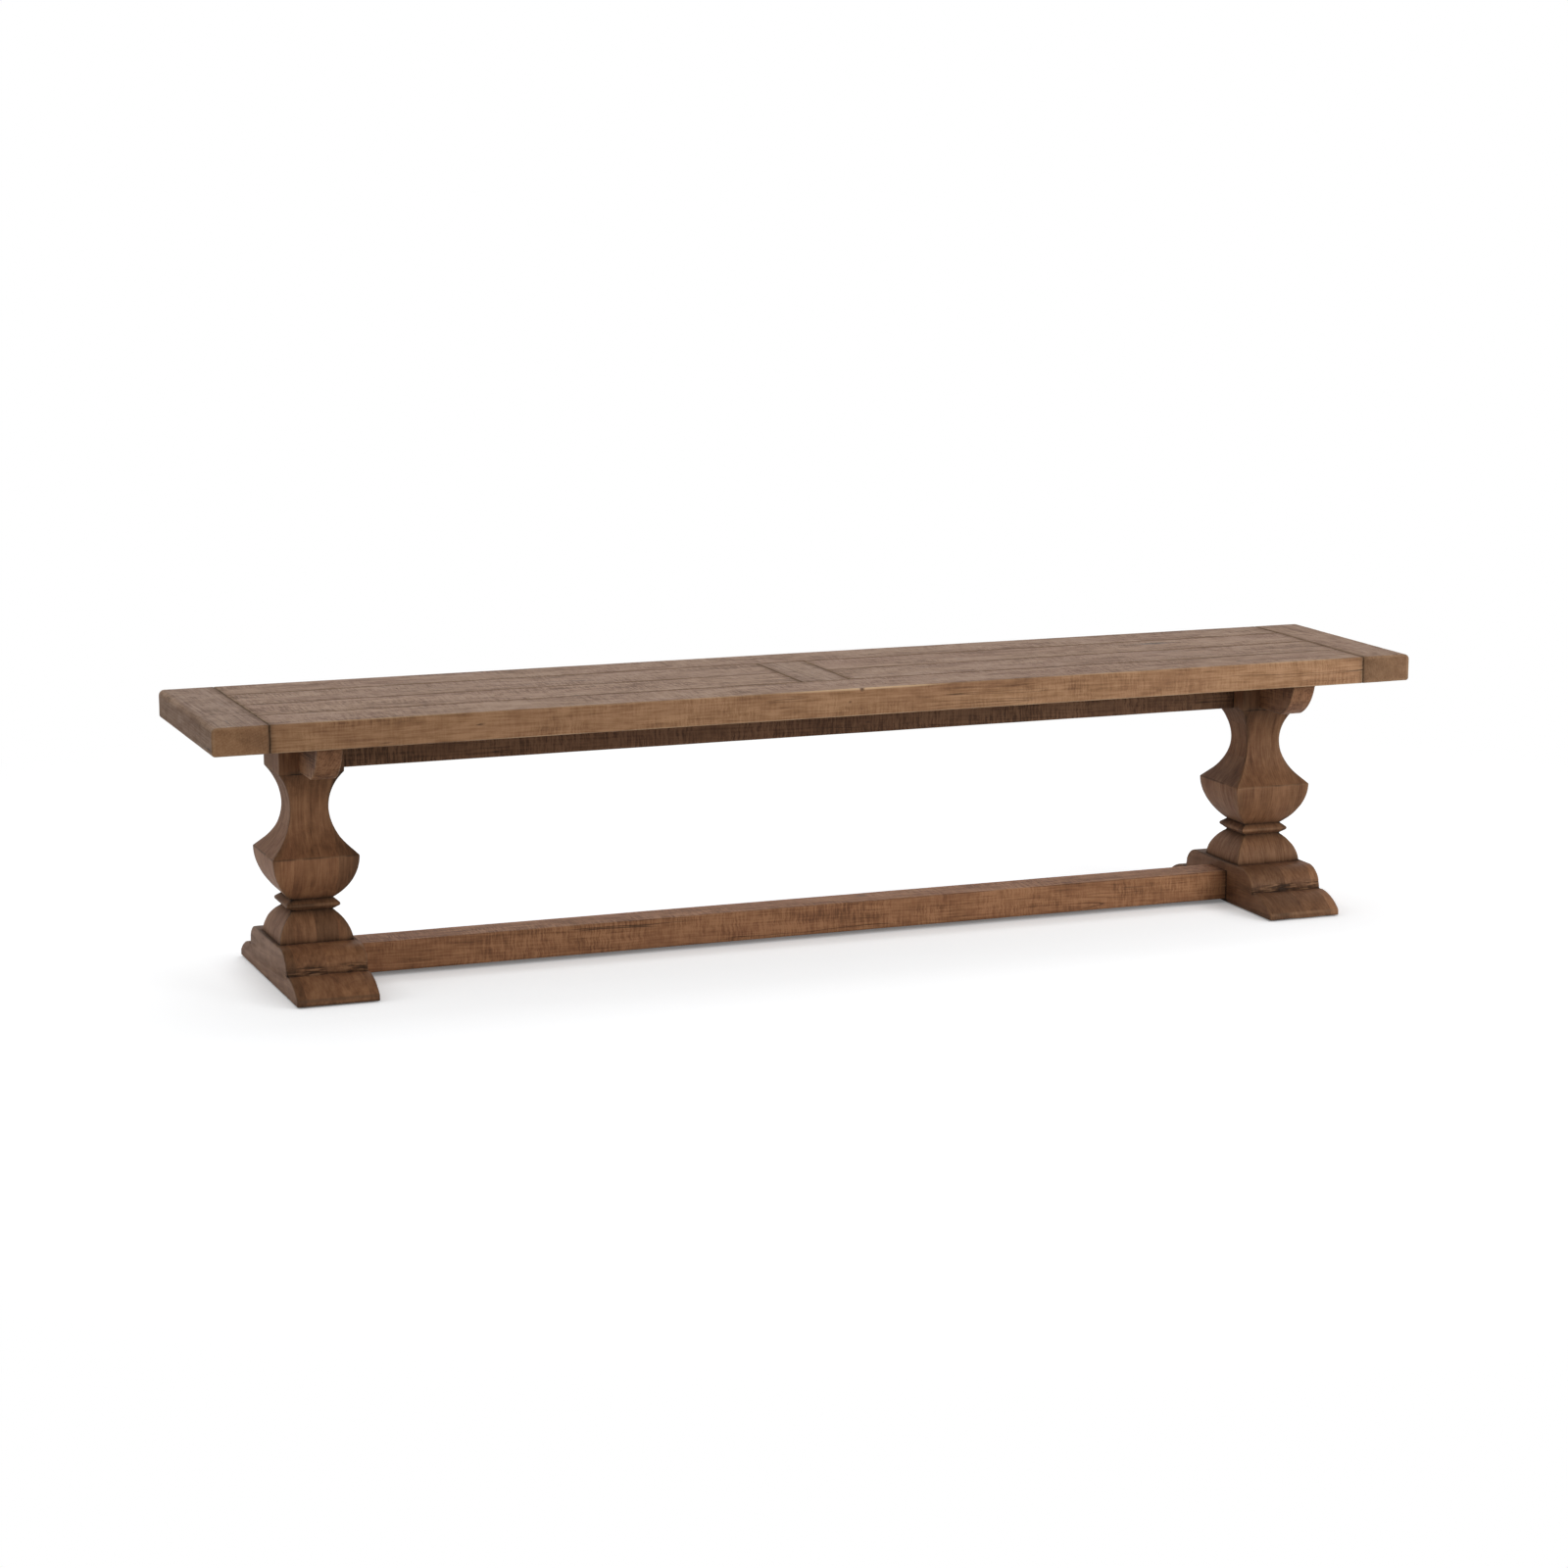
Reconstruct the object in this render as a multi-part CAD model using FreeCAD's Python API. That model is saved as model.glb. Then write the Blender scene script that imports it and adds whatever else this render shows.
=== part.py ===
import FreeCAD, Part
import math
import os

V = FreeCAD.Vector

# A dining bench on two square baluster pedestals, in millimetres.
# X runs along the seat, -Y is the front, Z is up, and the origin is on the floor under the middle.

# Overall size
LENGTH = 2134.0
WIDTH = 402.0
HEIGHT = 462.0

# Seat top, a framed panel of solid boards
TOP_THICKNESS = 46.5
END_BOARD_WIDTH = 92.0
RAIL_WIDTH = 93.0
CROSS_RAIL_WIDTH = 87.0
LONG_EDGE_ROUND = 4.5
END_EDGE_ROUND = 7.5
UNDER_EDGE_ROUND = 2.5
PLAN_CORNER_ROUND = 4.0
SEAM_BEVEL = 1.2
TONGUE_THICKNESS = 14.0
FRAME_TONGUE = 15.0
PLANK_TONGUE = 6.0
TONGUE_SETBACK = 25.0

# Rails under the seat: the apron and the balusters' top blocks share one depth
UNDER_DEPTH = 63.0
APRON_THICKNESS = 38.0
APRON_EDGE_ROUND = 1.5
APRON_TENON_LENGTH = 24.0
APRON_TENON_THICKNESS = 22.0
APRON_TENON_DEPTH = 40.0
CLEAT_THICKNESS = 42.0
CLEAT_DEPTH = 59.5
CLEAT_INSET = 23.0
CLEAT_END_RUN = 49.5
CLEAT_END_RADIUS = 80.0

# Pedestals
PEDESTAL_INSET = 194.0
BLOCK_WIDTH = 108.0
NECK_WIDTH = 64.0
NECK_DROP = 60.5
URN_WIDTH = 144.0
URN_RISE = 74.5
SHOULDER_FLAT = 20.8
BOWL_RADIUS = 96.5
URN_SEAT_WIDTH = 70.0
COLLAR_WIDTH = 90.5
COLLAR_HEIGHT = 19.0
COLLAR_NOSE_HEIGHT = 5.0
COLLAR_NOSE_BULGE = 0.9
PLINTH_TOP_WIDTH = 70.0
PLINTH_NECK_STEP = 1.5
PLINTH_NECK_HEIGHT = 2.0
PLINTH_HEIGHT = 48.5
PLINTH_WIDTH = 123.0
PLINTH_DOME_RADIUS = 63.0

# Feet
FOOT_LENGTH = 398.0
FOOT_WIDTH = 136.0
FOOT_HEIGHT = 72.0
FOOT_NOSE = 10.0
FOOT_LOWER_RUN = 65.5
FOOT_LEDGE = 4.5
FOOT_LEDGE_HEIGHT = 35.5
FOOT_UPPER_RUN = 39.5
GLIDE_DIAMETER = 22.0
GLIDE_THICKNESS = 2.0
GLIDE_EDGE_BEVEL = 0.6
GLIDE_INSET_X = 24.0
GLIDE_INSET_Y = 27.0

# Stretcher between the feet
STRETCHER_WIDTH = 64.0
STRETCHER_DEPTH = 51.0
STRETCHER_RISE = 8.0
STRETCHER_EDGE_ROUND = 1.5
STRETCHER_TENON_LENGTH = 35.0
STRETCHER_TENON_WIDTH = 44.0
STRETCHER_TENON_DEPTH = 31.0

# Tie rods through the pedestals, with nuts and washers
ROD_DIAMETER = 10.0
ROD_PROUD = 3.0
ROD_END_BEVEL = 1.0
ROD_NUT_FLATS = 16.0
ROD_NUT_HEIGHT = 8.0
ROD_WASHER_DIAMETER = 20.0
ROD_WASHER_THICKNESS = 2.0
ROD_POCKET_DIAMETER = 26.0
FOOT_POCKET_DEPTH = 18.0
CLEAT_POCKET_DEPTH = 16.0

# Dowels that keep the stacked pieces square
DOWEL_DIAMETER = 10.0
PLINTH_DOWEL_LENGTH = 40.0
PLINTH_DOWEL_OFFSET = 26.0
COLLAR_DOWEL_LENGTH = 60.0
COLLAR_DOWEL_OFFSET = 18.0

# Bolts, washers and threaded inserts that hold the seat on the cleats
SEAT_BOLT_DIAMETER = 8.0
SEAT_BOLT_FLATS = 13.0
SEAT_BOLT_HEAD = 5.3
SEAT_BOLT_INSET = 37.0
SEAT_POCKET_DEPTH = 22.0
SEAT_POCKET_DIAMETER = 22.0
SEAT_WASHER_DIAMETER = 16.0
SEAT_WASHER_THICKNESS = 1.6
INSERT_DIAMETER = 12.0
INSERT_LENGTH = 18.0

# Wood screws, driven upwards
SCREW_DIAMETER = 5.0
SCREW_HEAD_DIAMETER = 10.0
SCREW_HEAD_HEIGHT = 3.5
SCREW_POINT = 7.0
SCREW_TIP_DIAMETER = 1.0
SCREW_POCKET_DIAMETER = 12.0
APRON_SCREW_LENGTH = 66.0
APRON_SCREW_POCKET = 24.0
APRON_SCREW_FIRST = 140.0
APRON_SCREW_PITCH = 280.0
APRON_SCREW_OFFSET = 10.0
APRON_SCREW_END_MARGIN = 60.0
STRETCHER_SCREW_LENGTH = 32.0
STRETCHER_SCREW_POCKET = 8.0
STRETCHER_SCREW_INSET = 18.0
STRETCHER_SCREW_SPACING = 24.0

# Clearances
TONGUE_PLAY = 0.1
TONGUE_END_GAP = 1.0
TENON_PLAY = 0.2
TENON_END_GAP = 1.0
SLOT_PLAY = 0.2
ROD_BORE_PLAY = 0.5
BOLT_BORE_PLAY = 0.4
WASHER_PLAY = 0.3
THREAD_PLAY = 0.05
DOWEL_PLAY = 0.1
SCREW_PLAY = 0.1
HOLE_END_GAP = 1.0

# Levels and places that follow from the sizes
LEFT = -1
RIGHT = 1
under_z = HEIGHT - TOP_THICKNESS
panel_z = HEIGHT - TOP_THICKNESS / 2
seam_x = LENGTH / 2 - END_BOARD_WIDTH
seam_y = WIDTH / 2 - RAIL_WIDTH
cross_half = CROSS_RAIL_WIDTH / 2
pedestal_x = LENGTH / 2 - PEDESTAL_INSET
rails_z = under_z - UNDER_DEPTH
cleat_z = under_z - CLEAT_DEPTH
foot_base = GLIDE_THICKNESS
foot_top = foot_base + FOOT_HEIGHT
plinth_top = foot_top + PLINTH_HEIGHT
collar_top = plinth_top + COLLAR_HEIGHT
urn_z = collar_top + URN_RISE
neck_z = rails_z - NECK_DROP
block_face = pedestal_x - BLOCK_WIDTH / 2
foot_face = pedestal_x - FOOT_WIDTH / 2
cleat_half = WIDTH / 2 - CLEAT_INSET
seat_bolt_y = seam_y + SEAT_BOLT_INSET
seat_bolt_seat = cleat_z + SEAT_POCKET_DEPTH
stretcher_top = STRETCHER_RISE + STRETCHER_DEPTH
rod_low_seat = foot_base + FOOT_POCKET_DEPTH
rod_high_seat = under_z - CLEAT_POCKET_DEPTH


def box(x0, x1, y0, y1, z0, z1):
    return Part.makeBox(abs(x1 - x0), y1 - y0, z1 - z0, V(min(x0, x1), y0, z0))


def bar(x, y, z0, z1, diameter):
    return Part.makeCylinder(diameter / 2, z1 - z0, V(x, y, z0))


def arc_middle(p, q, radius, bulge):
    """Middle point of the arc of a radius from p to q; bulge 1 leans right of the way from p to q, -1 left."""
    run = q[0] - p[0]
    rise = q[1] - p[1]
    chord = math.hypot(run, rise)
    sagitta = radius - math.sqrt(radius ** 2 - chord ** 2 / 4)
    return ((p[0] + q[0]) / 2 + bulge * sagitta * rise / chord, (p[1] + q[1]) / 2 - bulge * sagitta * run / chord)


def arc(p, q, radius, bulge=1):
    """A curved step of an outline: its middle point and its end."""
    return (arc_middle(p, q, radius, bulge), q)


def is_arc(step):
    return isinstance(step[0], tuple)


def end_of(step):
    return step[1] if is_arc(step) else step


def mirrored(start, steps):
    """Closed outline from its right-hand side, listed upwards, and the mirror image of that side."""
    corners = [start] + [end_of(step) for step in steps]
    loop = list(steps)
    loop.append((-corners[-1][0], corners[-1][1]))
    for i in reversed(range(len(steps))):
        corner = (-corners[i][0], corners[i][1])
        if is_arc(steps[i]):
            middle = steps[i][0]
            loop.append(((-middle[0], middle[1]), corner))
        else:
            loop.append(corner)
    loop.append(start)
    return loop


def outline_face(start, steps, place):
    """Planar face of an outline, put in space by the function place(u, v)."""
    edges = []
    last = start
    for step in steps:
        if is_arc(step):
            edges.append(Part.Arc(place(*last), place(*step[0]), place(*step[1])).toShape())
        else:
            edges.append(Part.makeLine(place(*last), place(*step)))
        last = end_of(step)
    return Part.Face(Part.Wire(edges))


def along_x(start, steps, x0, x1):
    """Outline in Y and Z, drawn out along X."""
    return outline_face(start, steps, lambda y, z: V(x0, y, z)).extrude(V(x1 - x0, 0, 0))


def along_y(start, steps, y0, y1):
    """Outline in X and Z, drawn out along Y."""
    return outline_face(start, steps, lambda x, z: V(x, y0, z)).extrude(V(0, y1 - y0, 0))


def square_shaped(start, steps):
    """Square piece shaped to one side outline on all four faces, as if sawn twice at right angles."""
    reach = 2 * max(end_of(step)[0] for step in [start] + steps)
    first = along_y(start, mirrored(start, steps), -reach, reach)
    second = first.copy()
    second.rotate(V(0, 0, 0), V(0, 0, 1), 90)
    return first.common(second)


def spun(start, steps):
    """Round piece from its half outline in radius and height, turned about the Z axis."""
    return outline_face(start, steps, lambda r, z: V(r, 0, z)).revolve(V(0, 0, 0), V(0, 0, 1), 360)


def placed(shape, x, y, z=0.0):
    moved = shape.copy()
    moved.translate(V(x, y, z))
    return moved


def one_solid(shape, name):
    solids = shape.removeSplitter().Solids
    if len(solids) != 1:
        raise ValueError("%s came out as %d solids" % (name, len(solids)))
    return solids[0]


def save(name, shape):
    one_solid(shape, name).exportStep("parts/%s.step" % name)


def save_group(name, shapes):
    Part.makeCompound([one_solid(shape, name) for shape in shapes]).exportStep("parts/%s.step" % name)


def on_plane(edge, axis, value):
    bounds = edge.BoundBox
    low = getattr(bounds, axis + "Min")
    high = getattr(bounds, axis + "Max")
    return abs(low - value) < 1e-4 and abs(high - value) < 1e-4


# Seat top

def rounded_side(half, upper_round):
    """Right-hand side of the seat's section, with its lower and upper edge rounds."""
    low = (half - UNDER_EDGE_ROUND, under_z)
    low_end = (half, under_z + UNDER_EDGE_ROUND)
    high = (half, HEIGHT - upper_round)
    high_end = (half - upper_round, HEIGHT)
    return low, [arc(low, low_end, UNDER_EDGE_ROUND), high, arc(high, high_end, upper_round)]


def seat_blank():
    """The whole seat as one block with all its outer edges eased, from which the boards are cut."""
    start, steps = rounded_side(WIDTH / 2, LONG_EDGE_ROUND)
    long_way = along_x(start, mirrored(start, steps), -LENGTH / 2, LENGTH / 2)
    start, steps = rounded_side(LENGTH / 2, END_EDGE_ROUND)
    cross_way = along_y(start, mirrored(start, steps), -WIDTH / 2, WIDTH / 2)
    plan = box(-LENGTH / 2, LENGTH / 2, -WIDTH / 2, WIDTH / 2, under_z, HEIGHT)
    corners = [edge for edge in plan.Edges if edge.BoundBox.ZLength > TOP_THICKNESS / 2]
    return long_way.common(cross_way).common(plan.makeFillet(PLAN_CORNER_ROUND, corners))


def board(blank, x0, x1, y0, y1):
    """One board of the seat, with a small bevel on every edge that meets another board."""
    piece = blank.common(box(x0, x1, y0, y1, under_z, HEIGHT)).Solids[0]
    x_seams = [x for x in (x0, x1) if abs(x) < LENGTH / 2]
    y_seams = [y for y in (y0, y1) if abs(y) < WIDTH / 2]
    bevelled = []
    for edge in piece.Edges:
        on_x = any(on_plane(edge, "X", x) for x in x_seams)
        on_y = any(on_plane(edge, "Y", y) for y in y_seams)
        if on_x != on_y:
            bevelled.append(edge)
    return piece.makeChamfer(SEAM_BEVEL, bevelled)


def tongue(x0, x1, y0, y1):
    return box(x0, x1, y0, y1, panel_z - TONGUE_THICKNESS / 2, panel_z + TONGUE_THICKNESS / 2)


def groove(x0, x1, y0, y1):
    half = TONGUE_THICKNESS / 2 + TONGUE_PLAY
    return box(x0, x1, y0, y1, panel_z - half, panel_z + half)


groove_frame = FRAME_TONGUE + TONGUE_END_GAP
groove_plank = PLANK_TONGUE + TONGUE_END_GAP


def apron_screw_places():
    """Places of the screws up through the apron: one in the cross rail, then by turns in front and rear planks."""
    places = [(0.0, 0.0)]
    last = block_face - APRON_SCREW_END_MARGIN
    count = int((last - APRON_SCREW_FIRST) // APRON_SCREW_PITCH) + 1
    for i in range(count):
        x = APRON_SCREW_FIRST + i * APRON_SCREW_PITCH
        y = APRON_SCREW_OFFSET if i % 2 else -APRON_SCREW_OFFSET
        places.append((x, y))
        places.append((-x, y))
    return places


apron_screw_seat = rails_z + APRON_SCREW_POCKET
screw_bore = SCREW_DIAMETER + 2 * SCREW_PLAY


def apron_screw_holes():
    top = apron_screw_seat + APRON_SCREW_LENGTH + HOLE_END_GAP
    return [bar(x, y, apron_screw_seat, top, screw_bore) for x, y in apron_screw_places()]


def insert_holes(side):
    """Holes in a rail for the threaded inserts over the two cleats."""
    top = under_z + INSERT_LENGTH + HOLE_END_GAP
    return [bar(x, side * seat_bolt_y, under_z, top, INSERT_DIAMETER) for x in (-pedestal_x, pedestal_x)]


def end_board(blank, side):
    half = WIDTH / 2
    piece = board(blank, min(side * seam_x, side * LENGTH / 2), max(side * seam_x, side * LENGTH / 2), -half, half)
    reach = half - TONGUE_SETBACK + TONGUE_END_GAP
    return piece.cut(groove(side * seam_x, side * (seam_x + groove_frame), -reach, reach))


def long_rail(blank, side):
    """Front rail for side -1, rear rail for side 1, with a tongue at each end and a groove for the panel."""
    inner = side * seam_y
    outer = side * WIDTH / 2
    piece = board(blank, -seam_x, seam_x, min(inner, outer), max(inner, outer))
    near = side * (seam_y + groove_plank + TONGUE_END_GAP)
    far = side * (WIDTH / 2 - TONGUE_SETBACK)
    for end in (LEFT, RIGHT):
        x = end * (seam_x + FRAME_TONGUE)
        piece = piece.fuse(tongue(end * (seam_x - FRAME_TONGUE), x, min(near, far), max(near, far)))
    deep = side * (seam_y + groove_plank)
    piece = piece.cut(groove(-seam_x, seam_x, min(inner, deep), max(inner, deep)))
    return piece.cut(insert_holes(side))


def cross_rail(blank):
    """Middle rail across the panel, tongued into the long rails and grooved for the ends of the planks."""
    piece = board(blank, -cross_half, cross_half, -seam_y, seam_y)
    reach = cross_half - groove_frame - TONGUE_END_GAP
    piece = piece.fuse(tongue(-reach, reach, -seam_y - PLANK_TONGUE, seam_y + PLANK_TONGUE))
    for side in (LEFT, RIGHT):
        x = side * (cross_half - groove_frame)
        piece = piece.cut(groove(side * cross_half, x, -seam_y, seam_y))
    return piece.cut(apron_screw_holes())


def plank(blank, end, side):
    """Panel plank of one bay: tongues at both ends and towards its rail; the two planks meet tongue in groove."""
    x0 = cross_half
    x1 = seam_x
    outer = side * seam_y
    piece = board(blank, min(end * x0, end * x1), max(end * x0, end * x1), min(0, outer), max(0, outer))
    setback = groove_plank + TONGUE_END_GAP
    across = sorted((side * setback, side * (seam_y - setback)))
    piece = piece.fuse(tongue(end * (x0 - FRAME_TONGUE), end * (x1 + FRAME_TONGUE), across[0], across[1]))
    edge = sorted((side * (seam_y - setback), side * (seam_y + PLANK_TONGUE)))
    piece = piece.fuse(tongue(end * x0, end * x1, edge[0], edge[1]))
    if side < 0:
        piece = piece.fuse(tongue(end * x0, end * x1, -setback, PLANK_TONGUE))
    else:
        piece = piece.cut(groove(end * x0, end * x1, 0, groove_plank))
    return piece.cut(apron_screw_holes())


# Rails under the seat

def apron_beam():
    """Long beam under the seat, tenoned into the blocks of both balusters and screwed up into the panel."""
    half = APRON_THICKNESS / 2
    piece = box(-block_face, block_face, -half, half, rails_z, under_z)
    lower = [edge for edge in piece.Edges if on_plane(edge, "Z", rails_z) and edge.BoundBox.XLength > block_face]
    piece = piece.makeFillet(APRON_EDGE_ROUND, lower)
    middle = (rails_z + under_z) / 2
    tenon_half = APRON_TENON_THICKNESS / 2
    low = middle - APRON_TENON_DEPTH / 2
    high = middle + APRON_TENON_DEPTH / 2
    reach = block_face + APRON_TENON_LENGTH
    piece = piece.fuse(box(-reach, reach, -tenon_half, tenon_half, low, high))
    pockets = [bar(x, y, rails_z, apron_screw_seat, SCREW_POCKET_DIAMETER) for x, y in apron_screw_places()]
    return piece.cut(pockets + apron_screw_holes())


def cleat():
    """Cross cleat with swept-up ends, let into the top block and bolted up into the seat rails."""
    start = (cleat_half - CLEAT_END_RUN, cleat_z)
    steps = [arc(start, (cleat_half, under_z), CLEAT_END_RADIUS)]
    half = CLEAT_THICKNESS / 2
    piece = along_x(start, mirrored(start, steps), -half, half)
    cuts = [bar(0, 0, cleat_z, under_z, ROD_DIAMETER + 2 * ROD_BORE_PLAY)]
    cuts.append(bar(0, 0, rod_high_seat, under_z, ROD_POCKET_DIAMETER))
    for y in (-seat_bolt_y, seat_bolt_y):
        cuts.append(bar(0, y, cleat_z, seat_bolt_seat, SEAT_POCKET_DIAMETER))
        cuts.append(bar(0, y, cleat_z, under_z, SEAT_BOLT_DIAMETER + 2 * BOLT_BORE_PLAY))
    return piece.cut(cuts)


# Pedestals

def dowel_places(offset, turn):
    return [(offset, turn * offset), (-offset, -turn * offset)]


def plinth_dowel_holes():
    reach = PLINTH_DOWEL_LENGTH / 2 + HOLE_END_GAP
    size = DOWEL_DIAMETER + 2 * DOWEL_PLAY
    return [bar(x, y, foot_top - reach, foot_top + reach, size) for x, y in dowel_places(PLINTH_DOWEL_OFFSET, -1)]


def collar_dowel_holes():
    middle = (plinth_top + collar_top) / 2
    reach = COLLAR_DOWEL_LENGTH / 2 + HOLE_END_GAP
    size = DOWEL_DIAMETER + 2 * DOWEL_PLAY
    return [bar(x, y, middle - reach, middle + reach, size) for x, y in dowel_places(COLLAR_DOWEL_OFFSET, 1)]


def rod_bore():
    return bar(0, 0, rod_low_seat, cleat_z, ROD_DIAMETER + 2 * ROD_BORE_PLAY)


def shoulder(neck, urn):
    """Hollow curve that leaves the neck upright, then runs straight for SHOULDER_FLAT to the urn's widest edge."""
    out = urn[0] - neck[0]
    down = neck[1] - urn[1]
    radius = (out ** 2 + down ** 2 - SHOULDER_FLAT ** 2) / (2 * out)
    to_urn = math.atan2(-down, out - radius)
    swing = math.acos(radius / math.hypot(out - radius, down))
    angle = to_urn - swing
    touch = (neck[0] + radius + radius * math.cos(angle), neck[1] + radius * math.sin(angle))
    return touch, radius


def baluster(side):
    """Top block, hollow neck and urn of one pedestal in one piece, bridled over the cleat."""
    neck = (NECK_WIDTH / 2, neck_z)
    urn = (URN_WIDTH / 2, urn_z)
    seat = (URN_SEAT_WIDTH / 2, collar_top)
    block_edge = (BLOCK_WIDTH / 2, rails_z)
    touch, shoulder_radius = shoulder(neck, urn)
    out = block_edge[0] - neck[0]
    cove_radius = (out ** 2 + NECK_DROP ** 2) / (2 * out)
    steps = [arc(seat, urn, BOWL_RADIUS), touch, arc(touch, neck, shoulder_radius, -1)]
    steps += [arc(neck, block_edge, cove_radius, -1), (BLOCK_WIDTH / 2, under_z)]
    piece = square_shaped(seat, steps)
    slot_half = CLEAT_THICKNESS / 2 + SLOT_PLAY
    cuts = [box(-slot_half, slot_half, -BLOCK_WIDTH, BLOCK_WIDTH, cleat_z, under_z), rod_bore()]
    middle = (rails_z + under_z) / 2
    half_y = APRON_TENON_THICKNESS / 2 + TENON_PLAY
    half_z = APRON_TENON_DEPTH / 2 + TENON_PLAY
    face = -side * BLOCK_WIDTH / 2
    deep = -side * (BLOCK_WIDTH / 2 - APRON_TENON_LENGTH - TENON_END_GAP)
    cuts.append(box(face, deep, -half_y, half_y, middle - half_z, middle + half_z))
    return piece.cut(cuts + collar_dowel_holes())


def collar():
    """Thin square collar with bevelled faces and a softly rounded nose."""
    half = COLLAR_WIDTH / 2 - COLLAR_NOSE_BULGE
    middle = (plinth_top + collar_top) / 2
    low = (half, middle - COLLAR_NOSE_HEIGHT / 2)
    high = (half, middle + COLLAR_NOSE_HEIGHT / 2)
    tip = (COLLAR_WIDTH / 2, middle)
    start = (PLINTH_TOP_WIDTH / 2, plinth_top)
    steps = [low, (tip, high), (URN_SEAT_WIDTH / 2, collar_top)]
    return square_shaped(start, steps).cut([rod_bore()] + collar_dowel_holes())


def plinth():
    """Domed square block on the foot, with a short neck under the collar."""
    start = (PLINTH_WIDTH / 2, foot_top)
    dome = (PLINTH_TOP_WIDTH / 2 + PLINTH_NECK_STEP, plinth_top - PLINTH_NECK_HEIGHT)
    steps = [arc(start, dome, PLINTH_DOME_RADIUS), (PLINTH_TOP_WIDTH / 2, plinth_top)]
    cuts = [rod_bore()] + collar_dowel_holes() + plinth_dowel_holes()
    return square_shaped(start, steps).cut(cuts)


def horizontal_start_radius(run, drop):
    """Radius of an arc that leaves level and falls by drop over run."""
    return (run ** 2 + drop ** 2) / (2 * drop)


def glide_places():
    x = FOOT_WIDTH / 2 - GLIDE_INSET_X
    y = FOOT_LENGTH / 2 - GLIDE_INSET_Y
    return [(sx * x, sy * y) for sx in (-1, 1) for sy in (-1, 1)]


def stretcher_screw_places(side):
    """Places of the lock screws from one foot's centre."""
    x = -side * (FOOT_WIDTH / 2 - STRETCHER_SCREW_INSET)
    return [(x, y) for y in (-STRETCHER_SCREW_SPACING / 2, STRETCHER_SCREW_SPACING / 2)]


stretcher_screw_seat = foot_base + STRETCHER_SCREW_POCKET
stretcher_screw_top = stretcher_screw_seat + STRETCHER_SCREW_LENGTH + HOLE_END_GAP


def foot(side):
    """Sled foot with a stepped double ovolo at both ends, mortised for the stretcher and pocketed for the rod."""
    half = FOOT_LENGTH / 2
    start = (half, foot_base)
    nose = (half, foot_base + FOOT_NOSE)
    ledge_z = foot_base + FOOT_LEDGE_HEIGHT
    ledge = (half - FOOT_LOWER_RUN, ledge_z)
    step_in = (ledge[0] - FOOT_LEDGE, ledge_z)
    crown = (step_in[0] - FOOT_UPPER_RUN, foot_top)
    lower = horizontal_start_radius(FOOT_LOWER_RUN, ledge_z - nose[1])
    upper = horizontal_start_radius(FOOT_UPPER_RUN, foot_top - ledge_z)
    steps = [nose, arc(nose, ledge, lower), step_in, arc(step_in, crown, upper)]
    piece = along_x(start, mirrored(start, steps), -FOOT_WIDTH / 2, FOOT_WIDTH / 2)
    cuts = [bar(0, 0, foot_base, foot_top, ROD_DIAMETER + 2 * ROD_BORE_PLAY)]
    cuts.append(bar(0, 0, foot_base, rod_low_seat, ROD_POCKET_DIAMETER))
    middle = STRETCHER_RISE + STRETCHER_DEPTH / 2
    half_y = STRETCHER_TENON_WIDTH / 2 + TENON_PLAY
    half_z = STRETCHER_TENON_DEPTH / 2 + TENON_PLAY
    face = -side * FOOT_WIDTH / 2
    deep = -side * (FOOT_WIDTH / 2 - STRETCHER_TENON_LENGTH - TENON_END_GAP)
    cuts.append(box(face, deep, -half_y, half_y, middle - half_z, middle + half_z))
    for x, y in stretcher_screw_places(side):
        cuts.append(bar(x, y, foot_base, stretcher_screw_seat, SCREW_POCKET_DIAMETER))
        cuts.append(bar(x, y, foot_base, middle, screw_bore))
    return piece.cut(cuts + plinth_dowel_holes())


def stretcher():
    """Low stretcher between the feet, with eased long edges and a stub tenon at each end."""
    half = STRETCHER_WIDTH / 2
    piece = box(-foot_face, foot_face, -half, half, STRETCHER_RISE, stretcher_top)
    long_edges = [edge for edge in piece.Edges if edge.BoundBox.XLength > foot_face]
    piece = piece.makeFillet(STRETCHER_EDGE_ROUND, long_edges)
    middle = STRETCHER_RISE + STRETCHER_DEPTH / 2
    half_y = STRETCHER_TENON_WIDTH / 2
    half_z = STRETCHER_TENON_DEPTH / 2
    reach = foot_face + STRETCHER_TENON_LENGTH
    piece = piece.fuse(box(-reach, reach, -half_y, half_y, middle - half_z, middle + half_z))
    cuts = []
    for side in (LEFT, RIGHT):
        for x, y in stretcher_screw_places(side):
            cuts.append(bar(side * pedestal_x + x, y, foot_base, stretcher_screw_top, screw_bore))
    return piece.cut(cuts)


# Hardware

def bevelled_bar(diameter, length, bevel):
    """Round bar on the Z axis with bevelled ends."""
    r = diameter / 2
    steps = [(r - bevel, 0), (r, bevel), (r, length - bevel), (r - bevel, length), (0, length), (0, 0)]
    return spun((0, 0), steps)


def washer(bore, diameter, thickness):
    """Flat ring, also used for the plain sleeves."""
    return bar(0, 0, 0, thickness, diameter).cut(bar(0, 0, 0, thickness, bore))


def hexagon(flats, height):
    r = flats / math.sqrt(3)
    points = [V(r * math.cos(math.pi * i / 3), r * math.sin(math.pi * i / 3), 0) for i in range(7)]
    return Part.Face(Part.makePolygon(points)).extrude(V(0, 0, height))


def rod_nut():
    return hexagon(ROD_NUT_FLATS, ROD_NUT_HEIGHT).cut(bar(0, 0, 0, ROD_NUT_HEIGHT, ROD_DIAMETER + 2 * THREAD_PLAY))


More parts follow.
